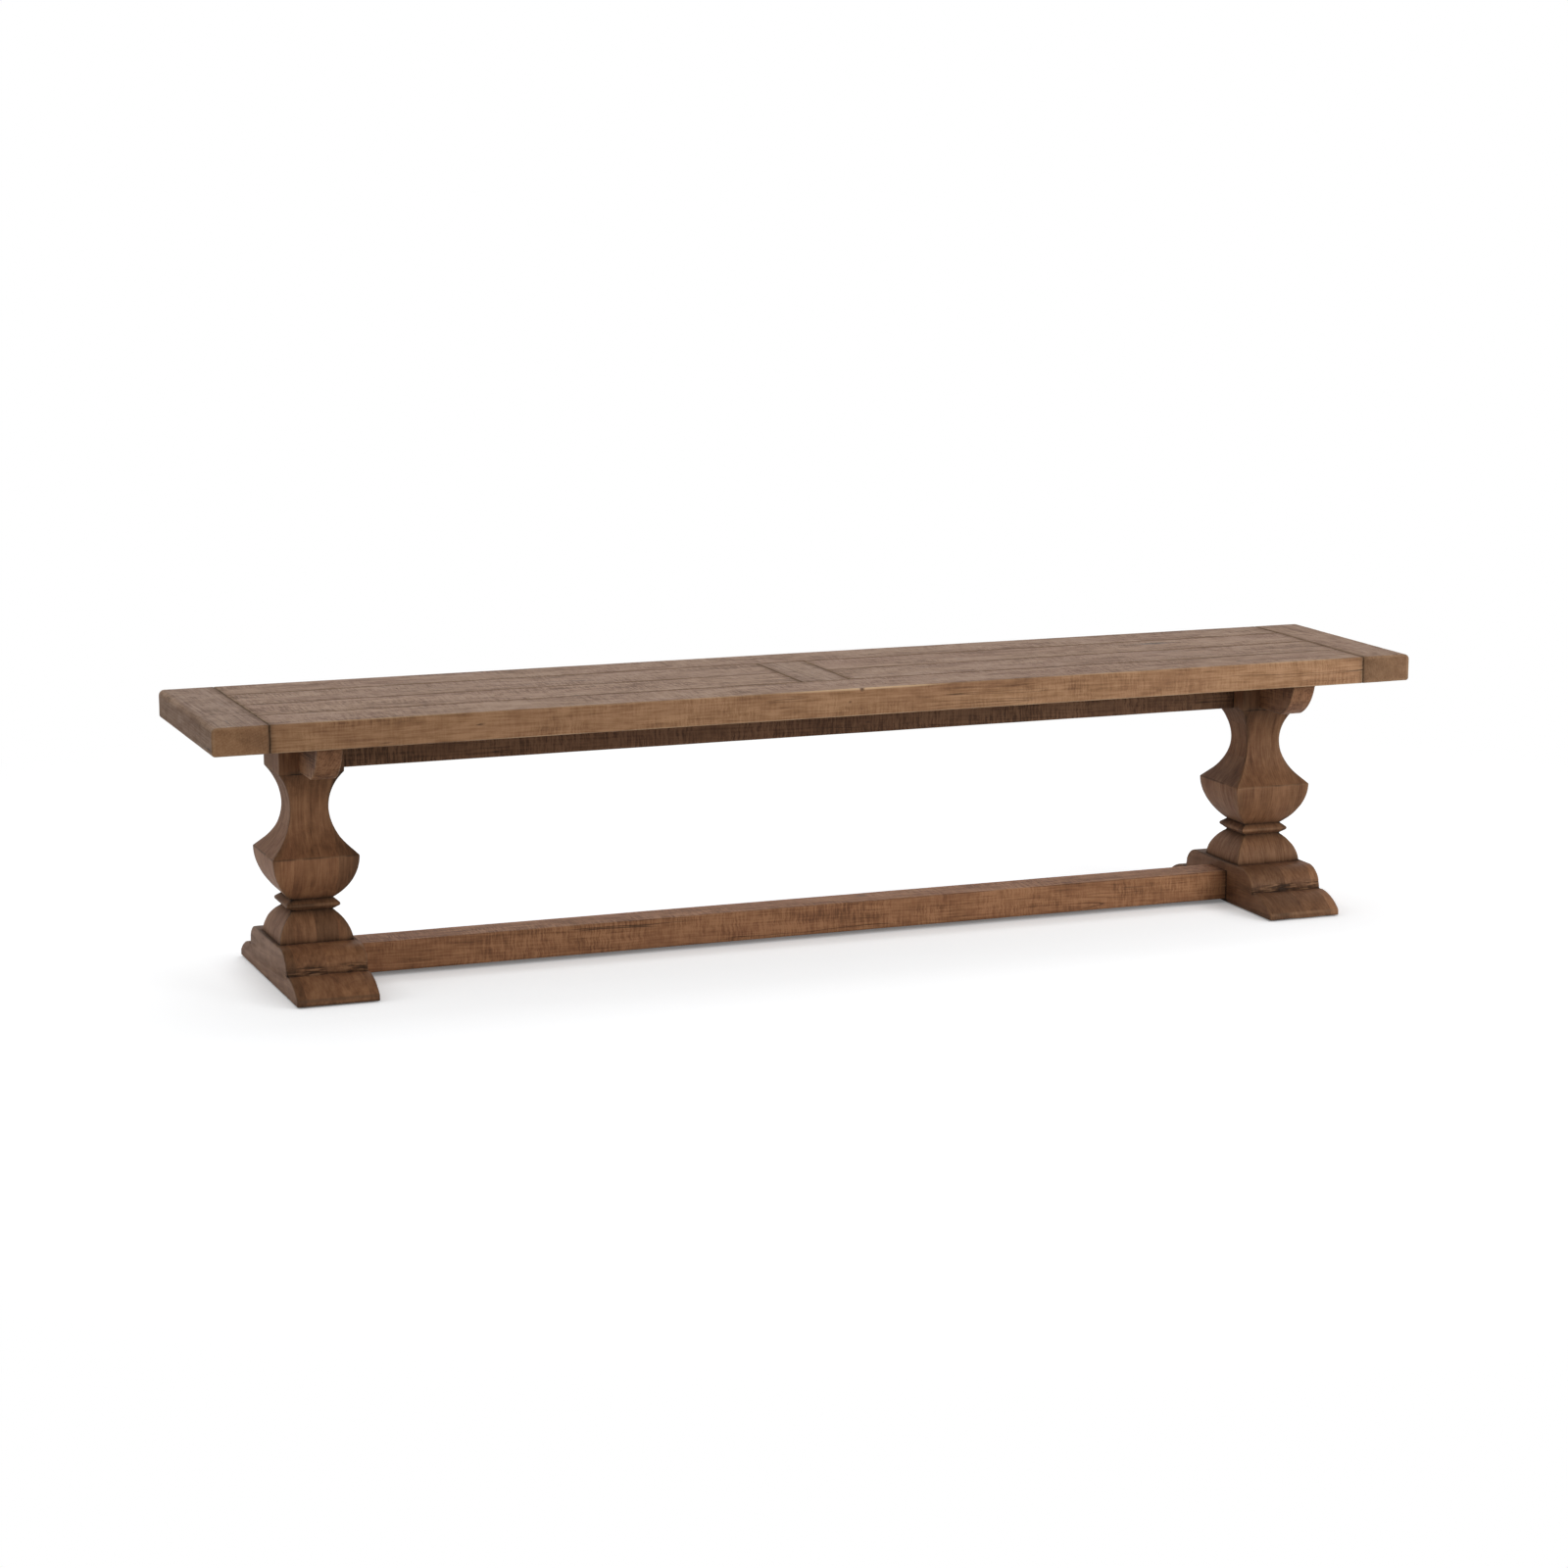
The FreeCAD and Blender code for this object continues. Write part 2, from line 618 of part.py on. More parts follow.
def seat_bolt(length):
    """Hexagon bolt whose head hangs below z = 0."""
    head = placed(hexagon(SEAT_BOLT_FLATS, SEAT_BOLT_HEAD), 0, 0, -SEAT_BOLT_HEAD)
    return head.fuse(bar(0, 0, -SEAT_BOLT_HEAD / 2, length, SEAT_BOLT_DIAMETER))


def wood_screw(length):
    """Pan-head wood screw whose head hangs below z = 0."""
    r = SCREW_DIAMETER / 2
    head = SCREW_HEAD_DIAMETER / 2
    low = -SCREW_HEAD_HEIGHT
    tip = SCREW_TIP_DIAMETER / 2
    steps = [(head, low), (head, 0), (r, 0), (r, length - SCREW_POINT), (tip, length), (0, length), (0, low)]
    return spun((0, low), steps)


def glide():
    """Round stick-on glide under the foot, with its lower rim bevelled."""
    r = GLIDE_DIAMETER / 2
    steps = [(r - GLIDE_EDGE_BEVEL, 0), (r, GLIDE_EDGE_BEVEL), (r, GLIDE_THICKNESS), (0, GLIDE_THICKNESS), (0, 0)]
    return spun((0, 0), steps)


def tie_rod():
    low = rod_low_seat - ROD_WASHER_THICKNESS - ROD_NUT_HEIGHT - ROD_PROUD
    high = rod_high_seat + ROD_WASHER_THICKNESS + ROD_NUT_HEIGHT + ROD_PROUD
    return placed(bevelled_bar(ROD_DIAMETER, high - low, ROD_END_BEVEL), 0, 0, low)


def both_pedestals(shape, places=((0.0, 0.0),), z=0.0):
    """Copies of a shape at the given places from each pedestal's centre."""
    return [placed(shape, side * pedestal_x + x, y, z) for side in (LEFT, RIGHT) for x, y in places]


def main():
    os.makedirs("parts", exist_ok=True)
    names = {LEFT: "left", RIGHT: "right"}
    sides = {-1: "front", 1: "rear"}

    blank = seat_blank()
    save("cross_rail", cross_rail(blank))
    for side, name in sides.items():
        save("%s_rail" % name, long_rail(blank, side))
        for end, end_name in names.items():
            save("plank_%s_%s" % (end_name, name), plank(blank, end, side))
    for side, name in names.items():
        save("end_board_%s" % name, end_board(blank, side))

    save("apron_beam", apron_beam())
    save("stretcher", stretcher())
    for side, name in names.items():
        x = side * pedestal_x
        save("cleat_%s" % name, placed(cleat(), x, 0))
        save("baluster_%s" % name, placed(baluster(side), x, 0))
        save("collar_%s" % name, placed(collar(), x, 0))
        save("plinth_%s" % name, placed(plinth(), x, 0))
        save("foot_%s" % name, placed(foot(side), x, 0))
        save("tie_rod_%s" % name, placed(tie_rod(), x, 0))

    nut_low = rod_low_seat - ROD_WASHER_THICKNESS - ROD_NUT_HEIGHT
    nut_high = rod_high_seat + ROD_WASHER_THICKNESS
    save_group("tie_rod_nuts", both_pedestals(rod_nut(), z=nut_low) + both_pedestals(rod_nut(), z=nut_high))
    ring = washer(ROD_DIAMETER + 2 * WASHER_PLAY, ROD_WASHER_DIAMETER, ROD_WASHER_THICKNESS)
    low_rings = both_pedestals(ring, z=rod_low_seat - ROD_WASHER_THICKNESS)
    save_group("tie_rod_washers", low_rings + both_pedestals(ring, z=rod_high_seat))

    dowel = bar(0, 0, 0, PLINTH_DOWEL_LENGTH, DOWEL_DIAMETER)
    low = foot_top - PLINTH_DOWEL_LENGTH / 2
    save_group("plinth_dowels", both_pedestals(dowel, dowel_places(PLINTH_DOWEL_OFFSET, -1), low))
    dowel = bar(0, 0, 0, COLLAR_DOWEL_LENGTH, DOWEL_DIAMETER)
    low = (plinth_top + collar_top) / 2 - COLLAR_DOWEL_LENGTH / 2
    save_group("collar_dowels", both_pedestals(dowel, dowel_places(COLLAR_DOWEL_OFFSET, 1), low))

    bolt_places = [(0.0, -seat_bolt_y), (0.0, seat_bolt_y)]
    bolt_end = under_z + INSERT_LENGTH
    low = seat_bolt_seat - SEAT_WASHER_THICKNESS
    save_group("seat_bolts", both_pedestals(seat_bolt(bolt_end - low), bolt_places, low))
    ring = washer(SEAT_BOLT_DIAMETER + 2 * WASHER_PLAY, SEAT_WASHER_DIAMETER, SEAT_WASHER_THICKNESS)
    save_group("seat_bolt_washers", both_pedestals(ring, bolt_places, low))
    sleeve = washer(SEAT_BOLT_DIAMETER + 2 * THREAD_PLAY, INSERT_DIAMETER, INSERT_LENGTH)
    save_group("seat_inserts", both_pedestals(sleeve, bolt_places, under_z))

    screw = wood_screw(APRON_SCREW_LENGTH)
    save_group("apron_screws", [placed(screw, x, y, apron_screw_seat) for x, y in apron_screw_places()])
    screw = wood_screw(STRETCHER_SCREW_LENGTH)
    locks = []
    for side in (LEFT, RIGHT):
        for x, y in stretcher_screw_places(side):
            locks.append(placed(screw, side * pedestal_x + x, y, stretcher_screw_seat))
    save_group("stretcher_screws", locks)
    save_group("floor_glides", both_pedestals(glide(), glide_places()))


main()
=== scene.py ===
import math
import random

import bmesh
import bpy
import numpy as np
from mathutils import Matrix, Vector, noise


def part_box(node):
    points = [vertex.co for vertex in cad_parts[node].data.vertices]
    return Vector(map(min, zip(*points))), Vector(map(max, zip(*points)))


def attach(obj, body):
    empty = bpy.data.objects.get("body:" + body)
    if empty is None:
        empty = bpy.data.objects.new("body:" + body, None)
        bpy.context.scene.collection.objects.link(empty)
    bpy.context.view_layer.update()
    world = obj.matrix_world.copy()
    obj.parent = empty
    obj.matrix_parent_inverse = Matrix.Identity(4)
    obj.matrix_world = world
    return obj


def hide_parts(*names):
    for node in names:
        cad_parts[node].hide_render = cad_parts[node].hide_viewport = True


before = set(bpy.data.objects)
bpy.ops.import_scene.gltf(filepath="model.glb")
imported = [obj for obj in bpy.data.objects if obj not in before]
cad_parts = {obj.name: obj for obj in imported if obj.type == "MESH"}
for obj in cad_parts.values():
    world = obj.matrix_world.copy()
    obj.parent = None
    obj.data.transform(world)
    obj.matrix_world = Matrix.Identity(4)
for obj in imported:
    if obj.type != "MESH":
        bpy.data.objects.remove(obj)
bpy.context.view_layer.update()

# A long dining bench of rough-sawn, brown-stained wood: a framed plank seat on two square baluster pedestals.
# Lengths are millimetres in the frame's axes: X along the seat, -Y the front, Z up. Meshes are in metres.
MM = 0.001
X, Y, Z = range(3)
LEFT = -1
RIGHT = 1
SIDES = {LEFT: "left", RIGHT: "right"}


def box_mm(node):
    low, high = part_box(node)
    return np.array(low) / MM, np.array(high) / MM


# Places that the frame gives
end_low, end_high = box_mm("end_board_right")
rail_low, rail_high = box_mm("front_rail")
foot_low, foot_high = box_mm("foot_right")
cleat_low, cleat_high = box_mm("cleat_right")
apron_low, apron_high = box_mm("apron_beam")
stretcher_low, stretcher_high = box_mm("stretcher")
seat_end = end_high[X]
seam_x = end_low[X]
seat_half = -rail_low[Y]
seam_y = -rail_high[Y]
cross_half = box_mm("cross_rail")[1][X]
under_z = end_low[Z]
seat_z = end_high[Z]
pedestal_x = (foot_low[X] + foot_high[X]) / 2
foot_face = foot_low[X]
urn_half, collar_half, plinth_half = (box_mm(node)[1][X] - pedestal_x
                                      for node in ("baluster_right", "collar_right", "plinth_right"))
collar_z = box_mm("collar_right")[1][Z]
plinth_z = box_mm("plinth_right")[1][Z]
floor_z = foot_low[Z]
foot_z = foot_high[Z]
rails_z = apron_low[Z]

# Edge rounds of the seat boards
LONG_EDGE_ROUND = 2.0
END_EDGE_ROUND = 9.0
UNDER_EDGE_ROUND = 2.5
END_UNDER_ROUND = 5.0
PLAN_CORNER_ROUND = 4.0
SEAM_BEVEL = 2.0
LONG_SEAM_BEVEL = 1.2

# Baluster, collar and plinth outlines
BLOCK_WIDTH = 108.0
NECK_WIDTH = 64.0
NECK_DROP = 60.5
URN_RISE = 74.5
SHOULDER_FLAT = 20.8
BOWL_RADIUS = 96.5
STEM_WIDTH = 70.0
COLLAR_NOSE_HEIGHT = 5.0
COLLAR_NOSE_BULGE = 0.9
PLINTH_NECK_STEP = 1.5
PLINTH_NECK_HEIGHT = 2.0
PLINTH_DOME_RADIUS = 63.0

# Foot and cleat outlines
FOOT_NOSE = 10.0
FOOT_LOWER_RUN = 65.5
FOOT_LEDGE = 4.5
FOOT_LEDGE_HEIGHT = 35.5
FOOT_UPPER_RUN = 39.5
CLEAT_END_RUN = 49.5
CLEAT_END_RADIUS = 80.0
block_half = BLOCK_WIDTH / 2
stem_half = STEM_WIDTH / 2
ledge_y = foot_high[Y] - FOOT_LOWER_RUN - FOOT_LEDGE
ledge_z = floor_z + FOOT_LEDGE_HEIGHT

# Soft arrises, and how closely the meshes are divided
ARRIS = 1.6
STICK_ARRIS = 1.5
FINE_STEP = 2.5
FOOT_STEP = 4.0
LONG_STEP = 8.0
CORNER_CUTS = 4
END_ROUND_CUTS = 3


# Outlines

def arc_points(p, q, radius, bulge, step):
    """Points after p on the arc of a radius to q; bulge 1 leans right of the way from p to q, -1 left."""
    p = np.array(p, float)
    q = np.array(q, float)
    chord = q - p
    length = np.hypot(*chord)
    right = np.array((chord[1], -chord[0])) / length
    centre = (p + q) / 2 - bulge * right * math.sqrt(radius ** 2 - length ** 2 / 4)
    start = math.atan2(*(p - centre)[::-1])
    turn = math.atan2(*(q - centre)[::-1]) - start
    turn = (turn + math.pi) % (2 * math.pi) - math.pi
    count = max(2, math.ceil(abs(turn) * radius / step))
    angles = [start + turn * i / count for i in range(1, count + 1)]
    return [tuple(centre + radius * np.array((math.cos(a), math.sin(a)))) for a in angles]


def line_points(p, q, step):
    """Points after p on the straight way to q."""
    count = max(1, math.ceil(math.dist(p, q) / step))
    return [tuple(np.array(p) + (np.array(q) - np.array(p)) * i / count) for i in range(1, count + 1)]


def turn_at(before, point, after):
    a = np.array(point) - np.array(before)
    b = np.array(after) - np.array(point)
    return math.atan2(a[0] * b[1] - a[1] * b[0], a[0] * b[0] + a[1] * b[1])


SHARP_TURN = math.radians(16)
CORNER_SHARE = 0.45
CORNER_PLACES = (0.0, 0.33, 0.67, 1.0)


def softened(points, closed, radius):
    """Outline with each sharp corner drawn as a small curve, and how much of an outer edge each point is."""
    soft = []
    edge = []
    for i, point in enumerate(points):
        last = i in (0, len(points) - 1) and not closed
        before = points[i - 1]
        after = points[(i + 1) % len(points)]
        turn = 0.0 if last else turn_at(before, point, after)
        if abs(turn) < SHARP_TURN:
            soft.append(point)
            edge.append(0.0)
            continue
        p = np.array(point)
        start, end = (p + (np.array(q) - p) * min(radius / math.dist(q, point), CORNER_SHARE)
                      for q in (before, after))
        for t in CORNER_PLACES:
            soft.append(tuple((1 - t) ** 2 * start + 2 * t * (1 - t) * p + t ** 2 * end))
            edge.append(1.0 if turn > 0 else 0.0)
    return np.array(soft), np.array(edge)


# Skins over rings of points

def linked(name, data):
    """New object in the scene."""
    made = bpy.data.objects.new(name, data)
    bpy.context.scene.collection.objects.link(made)
    return made


def keep(mesh, name, values):
    """Keeps a value for each point of a mesh."""
    attribute = mesh.attributes.new(name, "FLOAT", "POINT")
    attribute.data.foreach_set("value", np.asarray(values, np.float32))


def edge_of(mesh):
    edge = np.zeros(len(mesh.vertices), np.float32)
    mesh.attributes["edge"].data.foreach_get("value", edge)
    return edge


def skin(name, rings, edges):
    """Closed mesh object over rings of points in millimetres, with its nearness to an arris on its points."""
    count = len(rings[0])
    faces = []
    for i in range(len(rings) - 1):
        low = i * count
        for j in range(count):
            k = (j + 1) % count
            faces.append((low + j, low + k, low + count + k, low + count + j))
    faces.append(tuple(range(count - 1, -1, -1)))
    faces.append(tuple(range((len(rings) - 1) * count, len(rings) * count)))
    mesh = bpy.data.meshes.new(name)
    mesh.from_pydata((np.concatenate(rings) * MM).tolist(), [], faces)
    work = bmesh.new()
    work.from_mesh(mesh)
    bmesh.ops.recalc_face_normals(work, faces=work.faces)
    work.to_mesh(mesh)
    work.free()
    keep(mesh, "edge", np.concatenate(edges))
    return linked(name, mesh)


def run_places(length, first, step):
    """Places along a run, close together at both ends."""
    count = max(1, math.ceil((length - 2 * first) / step))
    return [0.0] + [first + (length - 2 * first) * i / count for i in range(count + 1)] + [length]


EDGE_SLOPE = 1.6


def section(a0, a1, b0, b1, radii, cuts):
    """Rectangle with a round at each corner, anticlockwise from the lower left, and its edge weights."""
    corners = ((a0, b0, 1, 1), (a1, b0, -1, 1), (a1, b1, -1, -1), (a0, b1, 1, -1))

    def on_round(i, angle):
        a, b, into_a, into_b = corners[i % 4]
        r = radii[i % 4]
        return a + into_a * r + r * math.cos(angle), b + into_b * r + r * math.sin(angle)

    points = []
    weights = []
    for i in range(4):
        for k in range(CORNER_CUTS + 1):
            points.append(on_round(i, math.pi + math.pi / 2 * (i + k / CORNER_CUTS)))
            weights.append(min(1.0, EDGE_SLOPE * (1 - abs(2 * k / CORNER_CUTS - 1))))
        start = np.array(points[-1])
        end = np.array(on_round(i + 1, math.pi + math.pi / 2 * (i + 1)))
        run = math.dist(start, end)
        for t in run_places(run, min(FINE_STEP, run / 3), run / cuts[i % 2])[1:-1]:
            points.append(tuple(start + (end - start) * t / run))
            weights.append(0.0)
    return np.array(points), np.array(weights)


def end_round(depth):
    """Ways in from an end, and how far the section is drawn in there, round a quarter circle."""
    angles = [math.pi / 2 * k / END_ROUND_CUTS for k in range(END_ROUND_CUTS + 1)]
    return [(depth * (1 - math.cos(a)), 1 - math.sin(a)) for a in angles]


LEAST_ROUND = 0.3


def stick(name, axis, span, a_span, b_span, radii, end_depth, end_insets):
    """Straight board along X or Y, its section drawn in by end_insets over end_depth at each end. The insets
    are those of the low and high side across, then of the under and upper side."""
    cuts = [max(2, math.ceil((s[1] - s[0]) / LONG_STEP)) for s in (a_span, b_span)]
    length = span[1] - span[0]
    places = [(s, inset, 1.0) for s, inset in end_round(end_depth)]
    middle = run_places(length - 2 * end_depth, FINE_STEP, LONG_STEP)[1:-1]
    stations = [(0.0, 1.0, 0.0)] + places + [(end_depth + s, 0.0, 0.0) for s in middle]
    stations += [(length - s, inset, weight) for s, inset, weight in reversed(places)] + [(length, 1.0, 0.0)]
    rings = []
    edges = []
    for i, (s, inset, weight) in enumerate(stations):
        cap = FINE_STEP if i in (0, len(stations) - 1) else 0.0
        d = [inset * depth + cap for depth in end_insets]
        corner_inset = (max(d[0], d[2]), max(d[1], d[2]), max(d[1], d[3]), max(d[0], d[3]))
        tight = [max(r - inward, LEAST_ROUND) for r, inward in zip(radii, corner_inset)]
        across = (a_span[0] + d[0], a_span[1] - d[1], b_span[0] + d[2], b_span[1] - d[3])
        flat, weights = section(*across, tight, cuts)
        along = np.full(len(flat), span[0] + s)
        columns = (along, flat[:, 0], flat[:, 1]) if axis == X else (flat[:, 0], along, flat[:, 1])
        rings.append(np.column_stack(columns))
        edges.append(np.zeros(len(flat)) if cap else np.maximum(weights, weight))
    return skin(name, rings, edges)


QUARTER_TURN = np.array(((0, -1), (1, 0)))


def square_ring(half, corner, cuts):
    """Square with small round corners and its edge weights."""
    flat = half - corner
    side = [(half, -flat + 2 * flat * t) for t in np.linspace(0, 1, cuts + 1)]
    bend = [math.pi / 2 * k / CORNER_CUTS for k in range(1, CORNER_CUTS)]
    side += [(flat + corner * math.cos(a), flat + corner * math.sin(a)) for a in bend]
    points = []
    weights = []
    for quarter in range(4):
        spin = np.linalg.matrix_power(QUARTER_TURN, quarter)
        for i, point in enumerate(side):
            points.append(spin @ np.array(point))
            weights.append(1.0 if i == 0 or i >= cuts else 0.0)
    return np.array(points), np.array(weights)


# Roundness of the arrises up a square piece: least share, how far it varies, and over which width and height
ARRIS_LEAST = 0.75
ARRIS_RANGE = 0.5
ARRIS_WIDTH = 40.0
ARRIS_HEIGHT = 22.0
SIDE_JUMP = 7.1


def square_piece(name, side, outline, cuts):
    """Square piece on a pedestal's axis, shaped on all faces to one outline of half widths and heights."""
    soft, level_edge = softened(outline, False, ARRIS)
    rings = []
    edges = []
    for i, (half, z) in enumerate(soft):
        vary = noise.noise(Vector((side * SIDE_JUMP, half / ARRIS_WIDTH, z / ARRIS_HEIGHT)))
        flat, weights = square_ring(half, ARRIS * (ARRIS_LEAST + ARRIS_RANGE * vary), cuts)
        rings.append(np.column_stack((flat[:, 0] + side * pedestal_x, flat[:, 1], np.full(len(flat), z))))
        edges.append(np.maximum(weights, level_edge[i]))
    return skin(name, rings, edges)


def drawn_in(outline, depth):
    """Closed anticlockwise outline moved inwards by a depth."""
    normals = []
    for step in (outline - np.roll(outline, 1, axis=0), np.roll(outline, -1, axis=0) - outline):
        step = step / np.maximum(np.hypot(step[:, 0], step[:, 1]), 1e-9)[:, None]
        normals.append(np.column_stack((-step[:, 1], step[:, 0])))
    blend = normals[0] + normals[1]
    share = np.maximum((blend * normals[0]).sum(axis=1), 0.5)
    return outline + depth * blend / share[:, None]


FACE_INSETS = (4.0, 2.0)


def sawn_piece(name, outline, side, low_x, high_x, step):
    """Piece sawn to a closed outline in Y and Z, drawn out along X on one pedestal, with soft arrises on both
    faces. The places along X are the right-hand piece's."""
    soft, corner_edge = softened(outline, True, ARRIS)
    start = side * pedestal_x + low_x - pedestal_x
    length = high_x - low_x
    stations = [(0.0, ARRIS + inset, 0.0) for inset in FACE_INSETS]
    stations += [(s, ARRIS * inset, 1.0) for s, inset in end_round(ARRIS)]
    middle = [(ARRIS + s, 0.0, 0.0) for s in run_places(length - 2 * ARRIS, FINE_STEP, step)[1:-1]]
    mirror = [(length - s, inset, weight) for s, inset, weight in reversed(stations)]
    rings = []
    edges = []
    for s, inset, weight in stations + middle + mirror:
        flat = drawn_in(soft, inset)
        rings.append(np.column_stack((np.full(len(flat), start + s), flat[:, 0], flat[:, 1])))
        on_face = inset > ARRIS
        edges.append(np.zeros(len(flat)) if on_face else np.maximum(corner_edge, weight))
    return skin(name, rings, edges)


# Wear, pockets and the marks that the finish reads

SWELL = 0.18
SWELL_LENGTH = 90.0
CHIP_LENGTH = 26.0
DENT_LENGTH = CHIP_LENGTH / 3
CHIP_START = 0.12
DENT_START = 0.3
CHIP_SHARE = 1.6
DENT_SHARE = 1.2
CHIP_JUMP = Vector((40, 0, 0))
DENT_JUMP = Vector((0, 90, 0))


def points_of(mesh):
    """Places in millimetres and normals of a mesh's points."""
    places = np.zeros(len(mesh.vertices) * 3, np.float32)
    mesh.vertices.foreach_get("co", places)
    normals = np.zeros(len(mesh.vertices) * 3, np.float32)
    mesh.vertex_normals.foreach_get("vector", normals)
    return places.reshape(-1, 3) / MM, normals.reshape(-1, 3)


def push(mesh, moves):
    """Moves a mesh's points out along their normals, in millimetres."""
    places, normals = points_of(mesh)
    moved = (places + normals * np.array(moves)[:, None]) * MM
    mesh.vertices.foreach_set("co", moved.astype(np.float32).ravel())
    mesh.update()


def weather(piece, chip_depth):
    """Lets the faces swell a little and knocks small chips off the arrises."""
    moves = []
    for place, edge in zip(points_of(piece.data)[0], edge_of(piece.data)):
        p = Vector(place)
        move = SWELL * noise.noise(p / SWELL_LENGTH)
        if edge > 0:
            chip = max(0.0, noise.noise(p / CHIP_LENGTH + CHIP_JUMP) - CHIP_START)
            dent = max(0.0, noise.noise(p / DENT_LENGTH + DENT_JUMP) - DENT_START)
            move -= edge * chip_depth * (CHIP_SHARE * chip + DENT_SHARE * dent)
        moves.append(move)
    push(piece.data, moves)


def make_plain(piece):
    """Turns a piece and its modifiers into a plain mesh."""
    depsgraph = bpy.context.evaluated_depsgraph_get()
    mesh = bpy.data.meshes.new_from_object(piece.evaluated_get(depsgraph))
    piece.modifiers.clear()
    piece.data = mesh


POCKET_SIDES = 40


def bored(piece, holes):
    """Cuts round pockets, given as x, y, z0, z1 and diameter, out of a piece."""
    work = bmesh.new()
    for x, y, z0, z1, diameter in holes:
        radius = diameter / 2 * MM
        made = bmesh.ops.create_cone(work, cap_ends=True, segments=POCKET_SIDES, depth=(z1 - z0) * MM,
                                     radius1=radius, radius2=radius)
        bmesh.ops.translate(work, verts=made["verts"], vec=Vector((x, y, (z0 + z1) / 2)) * MM)
    mesh = bpy.data.meshes.new("cutter")
    work.to_mesh(mesh)
    work.free()
    cutter = linked("cutter", mesh)
    cut = piece.modifiers.new("pockets", "BOOLEAN")
    cut.operation = "DIFFERENCE"
    cut.solver = "EXACT"
    cut.object = cutter
    make_plain(piece)
    bpy.data.objects.remove(cutter)


# Each piece's place in the tree. The pedestals' seeds give staves as light and dark as the real ones.
SEEDS = {"front_rail": 23, "rear_rail": 12, "cross_rail": 24, "end_board_left": 90, "end_board_right": 92,
         "plank_left_front": 46, "plank_left_rear": 62, "plank_right_front": 81, "plank_right_rear": 86,
         "apron_beam": 96, "stretcher": 107, "baluster_left": 514, "collar_left": 88, "plinth_left": 171,
         "foot_left": 44, "cleat_left": 48, "baluster_right": 112, "collar_right": 225, "plinth_right": 162,
         "foot_right": 64, "cleat_right": 68}

# How light a piece took the stain, together with painted light and shade on its faces, how clear its figure
# is and how much wax it holds, against the rest, on its faces across X, Y and Z
TONE_AND_FACE_LIGHT = {
    "cross_rail": (1.0, 1.0, 0.66),
    "end_board_left": (0.46, 0.98, 0.62),
    "end_board_right": (0.94, 0.64, 0.74),
    "apron_beam": (0.58, 0.58, 0.58),
    "stretcher": (1.18, 1.4, 1.8),
    "baluster_left": (0.94, 1.32, 1.0),
    "plinth_left": (1.0, 1.08, 1.0),
    "baluster_right": (1.45, 1.0, 1.0),
    "collar_right": (1.3, 1.0, 1.0),
    "plinth_right": (1.3, 1.0, 1.0),
    "foot_right": (1.5, 1.0, 1.0),
}
EVEN = (1.0, 1.0, 1.0)
# Painted shade that keeps the seat's top darker than its sides
SEAT_TONE_AND_SHADE = (1.0, 1.0, 0.74)
SEAT_FIGURE = (0.8, 0.7, 1.05)
END_BOARD_FIGURE = (0.7, 0.45, 1.0)
BEAM_FIGURE = (0.75, 0.75, 0.75)
SHAPED_FIGURE = (0.7, 0.7, 0.7)
WAX = {"end_board_left": (0.25, 1.0, 1.0), "baluster_left": (1.25, 1.0, 1.0)}
PITH_TILT = 0.018
TREE_SPREAD = 400.0
STAVE_NUMBERS = 1000
STAVE_MIDDLE = 499.5
FACE_JUMP = 300.0
FACE_DEPTH = 0.2
WOOD_SHARP = math.radians(35)


def across_faces(points, normals):
    """Way across each face of a square piece, and a little of the depth, so that the figure runs up it."""
    front = np.abs(normals[:, Y]) > np.abs(normals[:, X])
    sideways = np.where(front, points[:, X], points[:, Y] + FACE_JUMP)
    depth = np.where(front, points[:, Y], points[:, X])
    return np.column_stack((sideways, FACE_DEPTH * depth))


def mark(piece, node, along, across, crease, stave_width=None, sawn=1.0, rubbed=1.0, tone=EVEN, figure=EVEN):
    """Keeps on the points what the finish reads. The place in the tree is in millimetres along the fibres,
    then the coarse and the fine way across. The staves have numbers, and the other values are shares."""
    mesh = piece.data
    draw = random.Random(SEEDS[node])
    points, normals = points_of(mesh)
    tree = np.column_stack((points[:, along], across(points, normals)))
    tree[:, 2] += PITH_TILT * tree[:, 0]
    tree += np.array([draw.uniform(-TREE_SPREAD, TREE_SPREAD) for axis in range(3)])
    grain = mesh.attributes.new("grain", "FLOAT_VECTOR", "POINT")
    grain.data.foreach_set("vector", tree.astype(np.float32).ravel())
    stave = np.full(len(points), draw.randrange(STAVE_NUMBERS) + 0.5)
    if stave_width:
        middle = (points[:, X].min() + points[:, X].max()) / 2
        stave += STAVE_MIDDLE + (points[:, X] - middle) / stave_width
    keep(mesh, "stave", stave)
    keep(mesh, "end_grain", np.abs(normals[:, along]))
    keep(mesh, "crease", [crease(p) for p in points])
    keep(mesh, "sawn", np.full(len(points), sawn))
    # The tone on each face holds painted light and shade as well as the stain's tone
    for name, shares in (("tone", TONE_AND_FACE_LIGHT.get(node, tone)), ("figure", figure), ("wax", WAX.get(node, EVEN))):
        keep(mesh, name, normals ** 2 @ np.array(shares))
    mesh.attributes["edge"].data.foreach_set("value", edge_of(mesh) * np.float32(rubbed))
    mesh.shade_smooth()
    mesh.set_sharp_from_angle(angle=WOOD_SHARP)


def fade(distance, reach, share=1.0):
    return share * math.exp(-max(distance, 0.0) / reach)


def hand_over(piece, node):
    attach(piece, "root")
    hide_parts(node)


def finish_piece(piece, node, material):
    piece.data.materials.clear()
    piece.data.materials.append(material)
    hand_over(piece, node)


# Materials

def linear(hex_colour):
    """Linear colour of an sRGB hex value."""
    values = [int(hex_colour[i:i + 2], 16) / 255 for i in (1, 3, 5)]
    return tuple(v / 12.92 if v <= 0.04045 else ((v + 0.055) / 1.055) ** 2.4 for v in values) + (1.0,)


